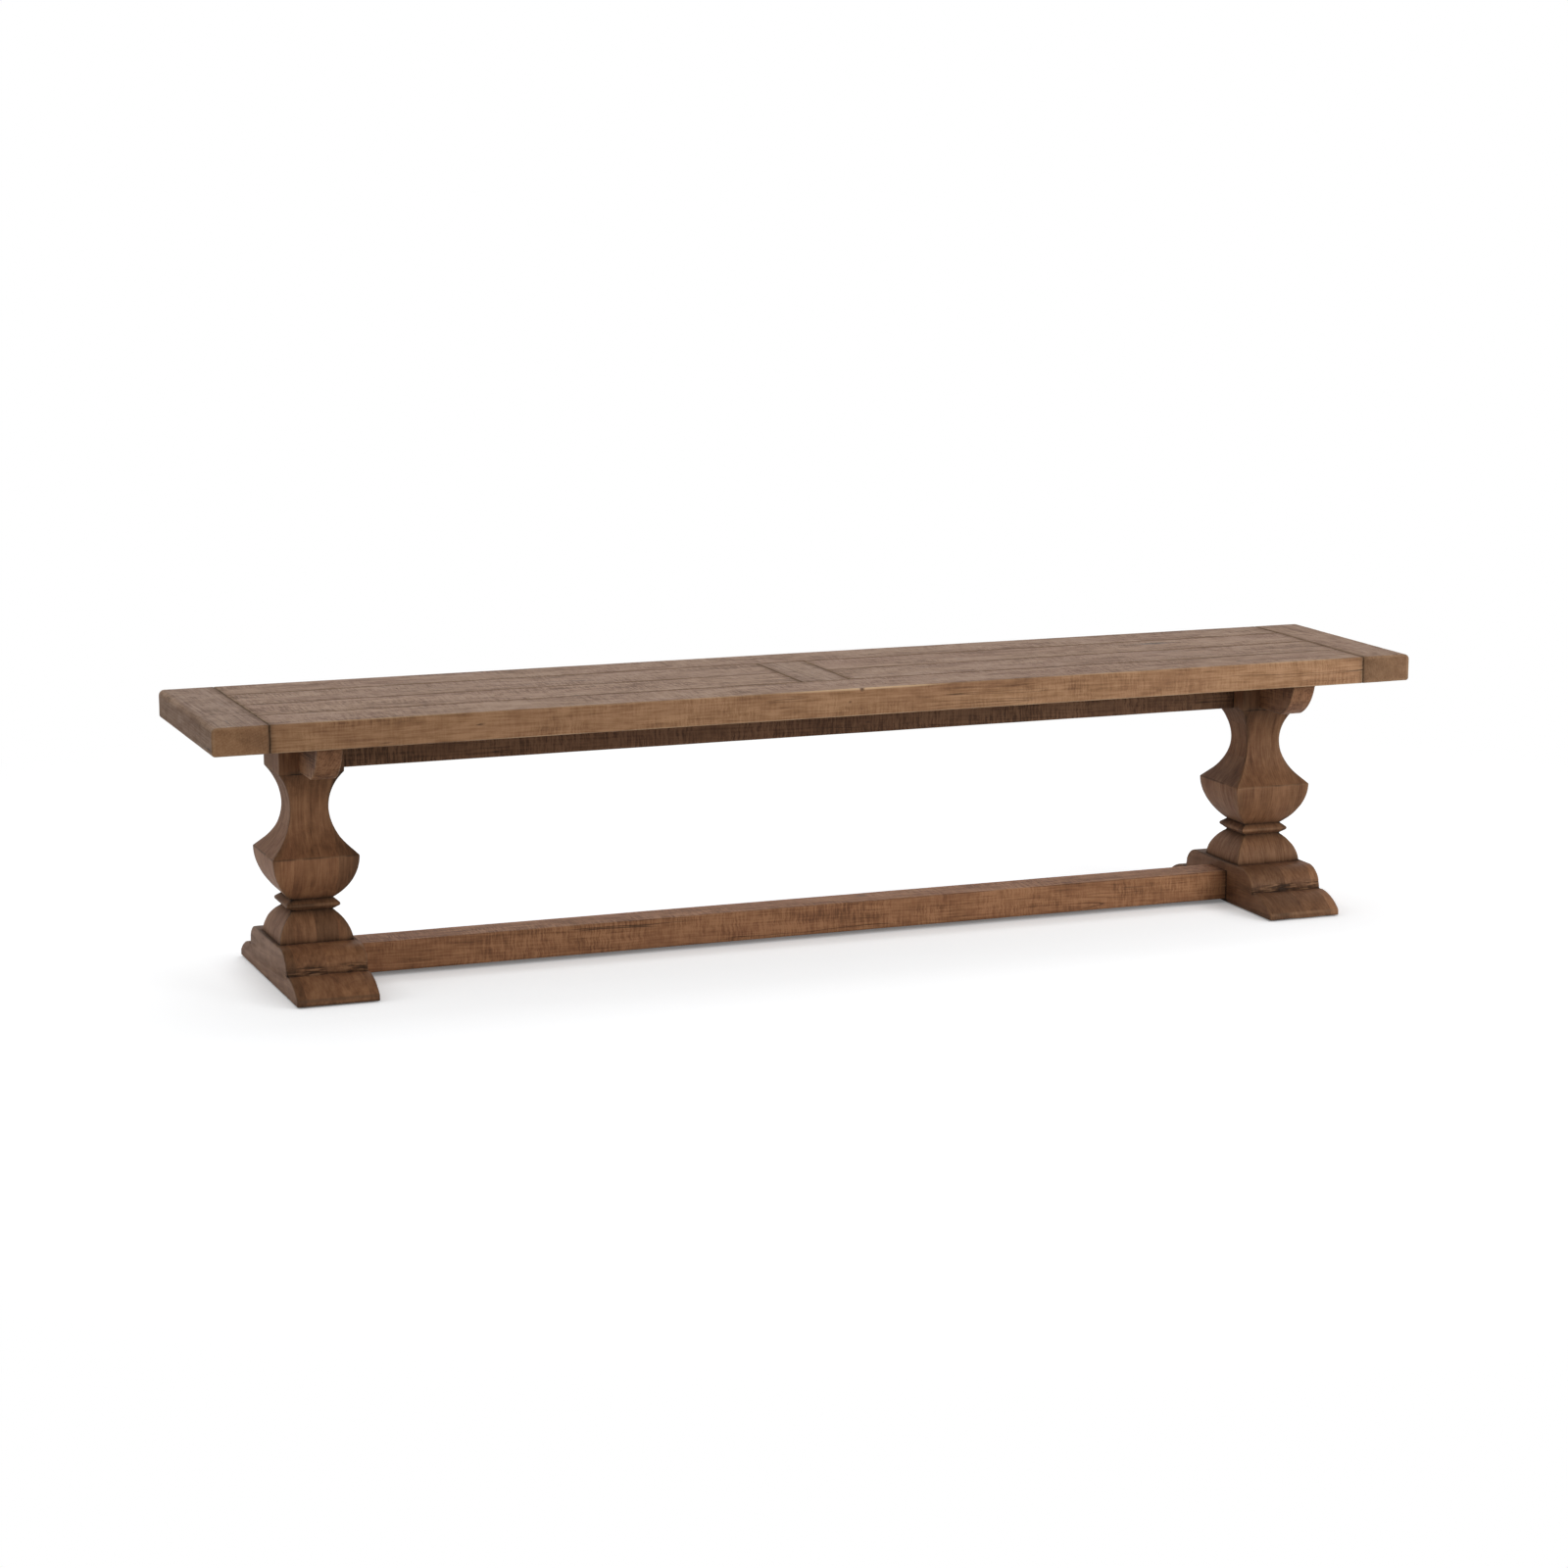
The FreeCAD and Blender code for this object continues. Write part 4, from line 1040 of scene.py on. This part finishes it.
def mirrored(side):
    """Closed anticlockwise outline from its right-hand side, listed upwards."""
    width = side[0][0]
    base = line_points((-width, side[0][1]), side[0], LONG_STEP)[:-1]
    top = line_points(side[-1], (-side[-1][0], side[-1][1]), LONG_STEP)[:-1]
    return side + top + [(-y, z) for y, z in reversed(side)] + base


def foot_outline():
    """Nose, lower ovolo, ledge and upper ovolo, whose arcs start level."""
    half = foot_high[Y]
    side = [(half, floor_z)] + line_points((half, floor_z), (half, floor_z + FOOT_NOSE), NOSE_STEP)
    for run, top, step_in in ((FOOT_LOWER_RUN, ledge_z, FOOT_LEDGE), (FOOT_UPPER_RUN, foot_z, 0.0)):
        start = side[-1]
        end = (start[0] - run, top)
        drop = top - start[1]
        side += arc_points(start, end, (run ** 2 + drop ** 2) / (2 * drop), 1, CURVE_STEP)
        if step_in:
            side += line_points(end, (end[0] - step_in, top), FINE_STEP)
    return mirrored(side)


def cleat_outline():
    half = cleat_high[Y]
    start = (half - CLEAT_END_RUN, cleat_low[Z])
    return mirrored([start] + arc_points(start, (half, under_z), CLEAT_END_RADIUS, 1, FINE_STEP))


# Painted shade at the levels where a piece meets the next
def crease_at(levels):
    return lambda p: max(fade(abs(p[Z] - level), CORNER_REACH) for level in levels)


def baluster_crease(p):
    """Painted shade at both ends, down the neck and over the block under the seat, and a dark painted line on
    the widest edge of the urn.
    """
    neck = fade(rails_z - p[Z], *NECK_SHADE) if p[Z] < rails_z else BLOCK_SHADE
    widest = fade(abs(p[Z] - collar_z - URN_RISE), *URN_EDGE_SHADE)
    return max(fade(p[Z] - collar_z, CORNER_REACH), fade(under_z - p[Z], CORNER_REACH), neck, widest)


def torn_share(p):
    """How far the grain is torn at a place on a foot: in a band over the ledge, at both ends."""
    up = fade(abs(p[Z] - ledge_z - TORN_RISE) - TORN_RISE, TORN_REACH)
    inward = fade(abs(abs(p[Y]) - ledge_y) - TORN_INSET, TORN_INSET_REACH)
    broken = TORN_MIDDLE + TORN_RANGE * noise.noise(Vector([c / size for c, size in zip(p, TORN_BREAK)]))
    return up * inward * min(max(broken, 0.0), 1.0)


def tear(foot):
    """Sinks the torn band into a foot."""
    push(foot.data, [-TORN_DEPTH * torn_share(place) for place in points_of(foot.data)[0]])


def foot_crease(p):
    """Painted shade round the plinth, in the corner over the ledge, where the stretcher meets the foot and
    near the floor, and stain in the torn band.
    """
    beyond = max(abs(abs(p[X]) - pedestal_x), abs(p[Y])) - plinth_half
    round_plinth = fade(beyond, CORNER_REACH) * fade(foot_z - p[Z], PLINTH_SHADE_DEPTH)
    corner = fade(math.hypot(abs(p[Y]) - ledge_y, p[Z] - ledge_z), LEDGE_REACH)
    beside = max(abs(p[Y]) - stretcher_high[Y], p[Z] - stretcher_high[Z])
    meets = fade(beside, CORNER_REACH) * fade(abs(p[X]) - foot_face, STRETCHER_SHADE_DEPTH)
    # Painted shade near the floor
    floor_shade = fade(p[Z] - floor_z, *FOOT_FLOOR_SHADE)
    return max(round_plinth, corner, meets, floor_shade, TORN_STAIN * torn_share(p))


# Painted shade under the seat and where the cleat meets the block
def cleat_crease(p):
    return max(fade(under_z - p[Z], CORNER_REACH), fade(abs(p[Y]) - block_half, MEET_REACH))


def pedestals():
    """Cleat, baluster, collar, plinth and foot on each side."""
    # Each square piece's outline, the cuts across its faces, and its painted shade
    square = (("baluster", baluster_outline(), 12, baluster_crease),
              ("collar", collar_outline(), 8, crease_at((plinth_z, collar_z))),
              ("plinth", plinth_outline(), 10, crease_at((plinth_z, foot_z))))
    foot_holes = pockets("stretcher_screws", floor_z, SCREW_POCKET, SCREW_HEAD)
    for name in SIDES.values():
        foot_holes += pockets("tie_rod_" + name, floor_z, ROD_POCKET, ROD_END + ROD_NUT + ROD_WASHER)
    for side, name in SIDES.items():
        for kind, outline, cuts, crease in square:
            node = "%s_%s" % (kind, name)
            piece = square_piece(node + "_post", side, outline, cuts)
            weather(piece, BASE_CHIP)
            mark(piece, node, Z, across_faces, crease, PEDESTAL_STAVE, SHAPED_SAW_MARKS, figure=SHAPED_FIGURE)
            finish_piece(piece, node, base_wood)
        node = "foot_" + name
        foot = sawn_piece(node + "_sled", foot_outline(), side, foot_low[X], foot_high[X], FOOT_STEP)
        weather(foot, BASE_CHIP)
        tear(foot)
        bored(foot, foot_holes)
        mark(foot, node, Y, lambda points, normals: points[:, (X, Z)] / FOOT_GRAIN_BROAD, foot_crease,
             FOOT_STAVE, SHAPED_SAW_MARKS, figure=SHAPED_FIGURE)
        keep(foot.data, "torn", [torn_share(p) for p in points_of(foot.data)[0]])
        finish_piece(foot, node, base_wood)
        node = "cleat_" + name
        cleat = sawn_piece(node + "_bar", cleat_outline(), side, cleat_low[X], cleat_high[X], LONG_STEP)
        weather(cleat, BASE_CHIP)
        mark(cleat, node, Y, lambda points, normals: points[:, (X, Z)], cleat_crease)
        finish_piece(cleat, node, base_wood)


# Fasteners, dowels and glides

FASTENER_SIZES = (
    "Head Width", "Head Height", "Face Width", "Face Bevel", "Bore",
    "Recess Length", "Recess Width", "Recess Depth",
    "Shank Diameter", "Shank Length", "Low Bevel", "High Bevel", "Low Tip", "High Tip", "Flute Depth",
    "Thread Diameter", "Thread Pitch", "Thread Ridge", "Thread Start", "Thread Length",
)
FASTENER_COUNTS = ("Head Sides", "Flutes", "Seed")
HEX = math.cos(math.pi / 6)
ROUND_SIDES = 32
RIDGE_SIDES = 3
THREAD_CUTS = 14
SLOT_DEPTHS = (2.0, 1.9)
DRILL_LENGTH = 3.0
HEAD_MERGE = 0.01
STEEL_SHARP = math.radians(32)


def fastener_tree():
    """Nodes that make a screw, bolt, nut, washer, rod, dowel or glide to size, head down, at each point."""
    tree = bpy.data.node_groups.new("fastener", "GeometryNodeTree")
    sockets = [("Places", "Geometry")] + [(name, "Float") for name in FASTENER_SIZES]
    sockets += [(name, "Int") for name in FASTENER_COUNTS] + [("Finish", "Material")]
    for name, kind in sockets:
        tree.interface.new_socket(name, in_out="INPUT", socket_type="NodeSocket" + kind)
    tree.interface.new_socket("Fasteners", in_out="OUTPUT", socket_type="NodeSocketGeometry")
    given = tree.nodes.new("NodeGroupInput").outputs
    half = {}
    wanted = {}
    for name in ("Head Width", "Face Width", "Bore", "Shank Diameter", "Thread Diameter"):
        half[name] = add(tree, "Math", {0: given[name], 1: 2.0}, operation="DIVIDE")
    for name in ("Head Height", "Bore", "Recess Depth", "Shank Length", "Thread Length"):
        wanted[name] = add(tree, "FunctionNodeCompare", {0: given[name], 1: 0.0}, operation="GREATER_THAN")

    # Head, disc or nut with a bevelled lower face, perhaps bored through and perhaps with a cross recess
    double = add(tree, "Math", {0: given["Head Height"], 1: 2.0}, operation="MULTIPLY")
    sizes = {"Vertices": given["Head Sides"], "Radius": half["Head Width"], "Depth": double}
    blank = add(tree, "GeometryNodeMeshCylinder", sizes)
    lean = add(tree, "Math", {0: half["Head Width"], 1: half["Face Width"]}, operation="SUBTRACT")
    lean = add(tree, "Math", {0: lean, 1: given["Face Bevel"]}, operation="DIVIDE")
    narrow = half["Face Width"]
    wide = add(tree, "Math", {0: lean, 1: double, 2: narrow}, operation="MULTIPLY_ADD")
    sizes = {"Vertices": ROUND_SIDES, "Radius Top": wide, "Radius Bottom": narrow, "Depth": double}
    bevel = add(tree, "GeometryNodeMeshCone", sizes)
    head = add(tree, "GeometryNodeMeshBoolean", {"Mesh 2": [blank, bevel]}, operation="INTERSECT",
               solver="EXACT")
    tall = add(tree, "Math", {0: given["Head Height"], 1: DRILL_LENGTH}, operation="MULTIPLY")
    sizes = {"Vertices": ROUND_SIDES, "Radius": half["Bore"], "Depth": tall}
    drill = add(tree, "GeometryNodeMeshCylinder", sizes)
    slots = []
    for ways, share in zip((("Length", "Width"), ("Width", "Length")), SLOT_DEPTHS):
        deep = add(tree, "Math", {0: given["Recess Depth"], 1: share}, operation="MULTIPLY")
        long_way, short_way = (given["Recess " + way] for way in ways)
        size = add(tree, "CombineXYZ", {0: long_way, 1: short_way, 2: deep})
        slots.append(add(tree, "GeometryNodeMeshCube", {"Size": size}))
    for name, cutters in (("Bore", drill), ("Recess Depth", slots)):
        cut = add(tree, "GeometryNodeMeshBoolean", {"Mesh 1": head, "Mesh 2": cutters},
                  operation="DIFFERENCE", solver="EXACT")
        head = add(tree, "GeometryNodeSwitch", {0: wanted[name], 1: head, 2: cut})
    head = add(tree, "GeometryNodeMergeByDistance", {0: head, "Distance": HEAD_MERGE * MM})

    # Shank or dowel, round or fluted, drawn in at both ends
    above = add(tree, "Math", {0: given["Shank Length"], 1: given["High Bevel"]}, operation="SUBTRACT")
    wide = given["Shank Diameter"]
    stations = {"height": (0.0, given["Low Bevel"], above, given["Shank Length"]),
                "width": (given["Low Tip"], wide, wide, given["High Tip"])}
    index = add(tree, "GeometryNodeInputIndex")
    for key, values in stations.items():
        pick = add(tree, "GeometryNodeIndexSwitch", {"Index": index}, data_type="FLOAT")
        for i, value in enumerate(values):
            if i > 1:
                pick.node.index_switch_items.new()
            if isinstance(value, bpy.types.NodeSocket):
                tree.links.new(value, pick.node.inputs[i + 1])
        stations[key] = pick
    line = add(tree, "GeometryNodeMeshLine", {"Count": 4})
    place = add(tree, "CombineXYZ", {2: stations["height"]})
    line = add(tree, "GeometryNodeSetPosition", {"Geometry": line, "Position": place})
    line = add(tree, "GeometryNodeMeshToCurve", {"Mesh": line})
    inner = add(tree, "Math", {0: half["Shank Diameter"], 1: given["Flute Depth"]}, operation="SUBTRACT")
    sizes = {"Points": given["Flutes"], "Inner Radius": inner, "Outer Radius": half["Shank Diameter"]}
    profile = add(tree, "GeometryNodeCurveStar", sizes)
    share = add(tree, "Math", {0: stations["width"], 1: given["Shank Diameter"]}, operation="DIVIDE")
    line = add(tree, "GeometryNodeSetCurveRadius", {"Curve": line, "Radius": share})
    sweep = {"Curve": line, "Profile Curve": profile, "Scale": share, "Fill Caps": True}
    shank = add(tree, "GeometryNodeCurveToMesh", sweep)

    # Thread as a ridge wound round the shank
    turns = add(tree, "Math", {0: given["Thread Length"], 1: given["Thread Pitch"]}, operation="DIVIDE")
    sizes = {"Resolution": THREAD_CUTS, "Rotations": turns, "Start Radius": half["Thread Diameter"],
             "End Radius": half["Thread Diameter"], "Height": given["Thread Length"]}
    helix = add(tree, "GeometryNodeCurveSpiral", sizes)
    sizes = {"Resolution": RIDGE_SIDES, "Radius": given["Thread Ridge"]}
    ridge = add(tree, "GeometryNodeCurvePrimitiveCircle", sizes)
    thread = add(tree, "GeometryNodeCurveToMesh", {"Curve": helix, "Profile Curve": ridge, "Fill Caps": True})
    start = add(tree, "CombineXYZ", {2: given["Thread Start"]})
    thread = add(tree, "GeometryNodeTransform", {"Geometry": thread, "Translation": start})

    # The parts that have a size, at each place, turned as the piece came off the driver
    parts = []
    for name, part in (("Head Height", head), ("Shank Length", shank), ("Thread Length", thread)):
        parts.append(add(tree, "GeometryNodeSwitch", {0: wanted[name], 2: part}))
    whole = add(tree, "GeometryNodeJoinGeometry", {0: parts})
    spin = add(tree, "FunctionNodeRandomValue", {2: 0.0, 3: 2 * math.pi, "Seed": given["Seed"]}, out=1)
    spin = add(tree, "CombineXYZ", {2: spin})
    spin = add(tree, "FunctionNodeEulerToRotation", {0: spin})
    each = {"Points": given["Places"], "Instance": whole, "Rotation": spin}
    placed = add(tree, "GeometryNodeInstanceOnPoints", each)
    placed = add(tree, "GeometryNodeRealizeInstances", {0: placed})
    placed = add(tree, "GeometryNodeSetMaterial", {0: placed, "Material": given["Finish"]})
    add(tree, "NodeGroupOutput", {0: placed})
    return tree


def fasten(tree, node, finish, counts, sizes):
    """Replaces a node's solids by ones made to sizes in millimetres, one on the low end of each solid."""
    places = [metres((*(low + high)[:2] / 2, low[Z])) for low, high in solids_of(node)]
    mesh = bpy.data.meshes.new(node + "_places")
    mesh.from_pydata(places, [], [])
    piece = linked(node + "_made", mesh)
    modifier = piece.modifiers.new("fastener", "NODES")
    modifier.node_group = tree
    values = {name: size * MM for name, size in sizes.items()} | counts | {"Finish": finish}
    for socket in tree.interface.items_tree:
        if socket.name in values:
            modifier[socket.identifier] = values[socket.name]
    make_plain(piece)
    piece.data.name = piece.name
    piece.data.shade_smooth()
    piece.data.set_sharp_from_angle(angle=STEEL_SHARP)
    hand_over(piece, node)


def length_of(node):
    low, high = solids_of(node)[0]
    return high[Z] - low[Z]


def disc(width, height, face, bevel, bore=0.0):
    return {"Head Width": width, "Head Height": height, "Face Width": face, "Face Bevel": bevel, "Bore": bore}


def shank(diameter, length, low_bevel, high_bevel, low_tip, high_tip):
    return {"Shank Diameter": diameter, "Shank Length": length, "Low Bevel": low_bevel,
            "High Bevel": high_bevel, "Low Tip": low_tip, "High Tip": high_tip}


def thread(diameter, pitch, ridge, start, length):
    return {"Thread Diameter": diameter, "Thread Pitch": pitch, "Thread Ridge": ridge, "Thread Start": start,
            "Thread Length": length}


def hardware():
    """Zinc-plated rods, nuts, washers, bolts, inserts and screws, fluted beech dowels and nylon glides."""
    tree = fastener_tree()
    hexagon = {"Head Sides": 6, "Flutes": 12, "Seed": 4}
    turned = {"Head Sides": ROUND_SIDES, "Flutes": 12, "Seed": 7}
    fluted = {"Head Sides": ROUND_SIDES, "Flutes": 18, "Seed": 2}
    made = []
    for name in SIDES.values():
        node = "tie_rod_" + name
        length = length_of(node)
        rod = shank(ROD_ROOT, length, low_bevel=1.0, high_bevel=1.0, low_tip=8.0, high_tip=8.0)
        rod |= thread(9.2, pitch=1.5, ridge=0.4, start=1.0, length=length - 2.0)
        made.append((node, turned, rod))
    nut = disc(ROD_NUT_FLATS / HEX, ROD_NUT, face=15.2, bevel=1.0, bore=10.0)
    washer = disc(ROD_WASHER_WIDTH, ROD_WASHER, face=19.4, bevel=0.3, bore=11.0)
    length = length_of("seat_bolts")
    bolt = disc(BOLT_FLATS / HEX, BOLT_HEAD, face=12.2, bevel=0.8)
    bolt |= shank(7.0, length, low_bevel=0.1, high_bevel=1.0, low_tip=7.0, high_tip=5.8)
    bolt |= thread(7.2, pitch=1.25, ridge=0.36, start=24.0, length=length - 25.5)
    bolt_washer = disc(BOLT_WASHER_WIDTH, BOLT_WASHER, face=15.4, bevel=0.3, bore=8.4)
    length = length_of("seat_inserts")
    insert = disc(10.4, length, face=9.6, bevel=0.4, bore=8.2)
    insert |= thread(10.6, pitch=3.0, ridge=0.7, start=1.5, length=length - 3.0)
    made += [("tie_rod_nuts", hexagon, nut), ("tie_rod_washers", turned, washer),
             ("seat_bolts", hexagon, bolt), ("seat_bolt_washers", turned, bolt_washer),
             ("seat_inserts", turned, insert)]
    for node, plain in (("apron_screws", 26.0), ("stretcher_screws", 12.0)):
        length = length_of(node)
        screw = disc(SCREW_HEAD_WIDTH, SCREW_HEAD, face=6.6, bevel=1.7)
        screw |= shank(3.6, length, low_bevel=0.1, high_bevel=SCREW_TIP, low_tip=3.6, high_tip=0.6)
        screw |= {"Recess Length": 5.4, "Recess Width": 1.1, "Recess Depth": 2.0}
        screw |= thread(3.8, pitch=2.5, ridge=0.6, start=plain, length=length - plain - SCREW_TIP)
        made.append((node, turned, screw))
    for node, counts, sizes in made:
        fasten(tree, node, steel, counts, sizes)
    for node in ("plinth_dowels", "collar_dowels"):
        dowel = shank(10.0, length_of(node), low_bevel=1.5, high_bevel=1.5, low_tip=8.2, high_tip=8.2)
        fasten(tree, node, beech, fluted, dowel | {"Flute Depth": 0.35})
    glide = disc(22.0, length_of("floor_glides"), face=20.6, bevel=0.7, bore=3.6)
    fasten(tree, "floor_glides", nylon, turned, glide)


# Camera, floor and light, in metres

EYE = (-2.281, -5.8345, 1.4481)
VIEW = (0.35308, 0.91705, -0.18536)
LENS = 85.25
SENSOR = 36.0
AMBIENT = 0.40
FLOOR_LIFT = 0.54
CONTACT_LIFT = 0.12
CONTACT_REACH = 0.07
FLOOR_SIZE = 30.0
FLOOR_NEAR = 1.15
FLOOR_FAR = 2.4

# Each soft lamp's place, aim, size and watts
SOFTBOXES = {
    "back_softbox": ((0.0, 1.3, 3.0), (0.0, 0.0, 0.0), (3.6, 2.0), 24.0),
    "key_softbox": ((2.2, -2.5, 1.05), (0.85, 0.0, 0.3), (1.6, 1.4), 43.0),
    "left_softbox": ((-5.0, 0.3, 1.7), (-0.8, 0.0, 0.3), (2.4, 1.8), 36.0),
}


def aimed(name, data, place, way):
    """Camera or lamp at a place, looking along a way."""
    made = linked(name, data)
    made.location = place
    made.rotation_euler = way.to_track_quat("-Z", "Y").to_euler()
    return made


def camera():
    data = bpy.data.cameras.new("camera")
    data.lens = LENS
    data.sensor_width = SENSOR
    bpy.context.scene.camera = aimed("camera", data, EYE, Vector(VIEW))


def softbox(name, place, aim, size, watts):
    data = bpy.data.lights.new(name, "AREA")
    data.shape = "RECTANGLE"
    data.size, data.size_y = size
    data.energy = watts
    aimed(name, data, place, Vector(aim) - Vector(place)).visible_camera = False


def background_share(tree):
    """1 on rays that show the background: from the camera, and mirrored or let through by a piece."""
    rays = add(tree, "LightPath", out="Is Camera Ray")
    shown = rays
    for kind in ("Is Glossy Ray", "Is Transmission Ray"):
        shown = add(tree, "Math", {0: shown, 1: rays.node.outputs[kind]}, operation="MAXIMUM")
    return shown


def studio():
    """White room: pale floor with shadows, clear from below, an even white surround and soft lamps."""
    world = bpy.data.worlds.new("white_room")
    world.use_nodes = True
    tree = world.node_tree
    tree.nodes.clear()
    strength = add(tree, "MapRange", {0: background_share(tree), 1: 0.0, 2: 1.0, 3: AMBIENT, 4: 1.0})
    room = add(tree, "Background", {"Color": (1.0, 1.0, 1.0, 1.0), "Strength": strength})
    add(tree, "OutputWorld", {"Surface": room})
    bpy.context.scene.world = world

    paper, tree = new_material("white_floor_paper")
    place = add(tree, "TexCoord", out="Object")
    way = add(tree, "VectorMath", {0: place}, out="Value", operation="LENGTH")
    far = add(tree, "MapRange", {0: way, 1: FLOOR_NEAR, 2: FLOOR_FAR, 3: 0.0, 4: 1.0},
              interpolation_type="SMOOTHSTEP")
    shown = background_share(tree)
    far = add(tree, "Math", {0: far, 1: shown}, operation="MULTIPLY")
    open_share = add(tree, "AmbientOcclusion", {"Distance": CONTACT_REACH}, out="AO")
    lift = add(tree, "MapRange", {0: open_share, 1: 0.0, 2: 1.0, 3: CONTACT_LIFT, 4: FLOOR_LIFT})
    lift = add(tree, "Math", {0: shown, 1: lift}, operation="MULTIPLY")
    pale = add(tree, "BsdfDiffuse", {"Color": linear("#ebedef")})
    glow = add(tree, "Emission", {"Strength": lift})
    near = add(tree, "AddShader", {0: pale, 1: glow})
    white = add(tree, "Emission", {"Strength": 1.0})
    surface = add(tree, "MixShader", {0: far, 1: near, 2: white})
    below = add(tree, "NewGeometry", out="Backfacing")
    clear = add(tree, "BsdfTransparent")
    surface = add(tree, "MixShader", {0: below, 1: surface, 2: clear})
    add(tree, "OutputMaterial", {"Surface": surface})
    half = FLOOR_SIZE / 2
    mesh = bpy.data.meshes.new("floor")
    corners = [(-half, -half, 0), (half, -half, 0), (half, half, 0), (-half, half, 0)]
    mesh.from_pydata(corners, [], [range(len(corners))])
    mesh.materials.append(paper)
    floor = linked("floor", mesh)
    for name, lamp in SOFTBOXES.items():
        softbox(name, *lamp)
    bpy.context.scene.view_settings.view_transform = "Standard"


seat()
rails()
pedestals()
hardware()
camera()
studio()
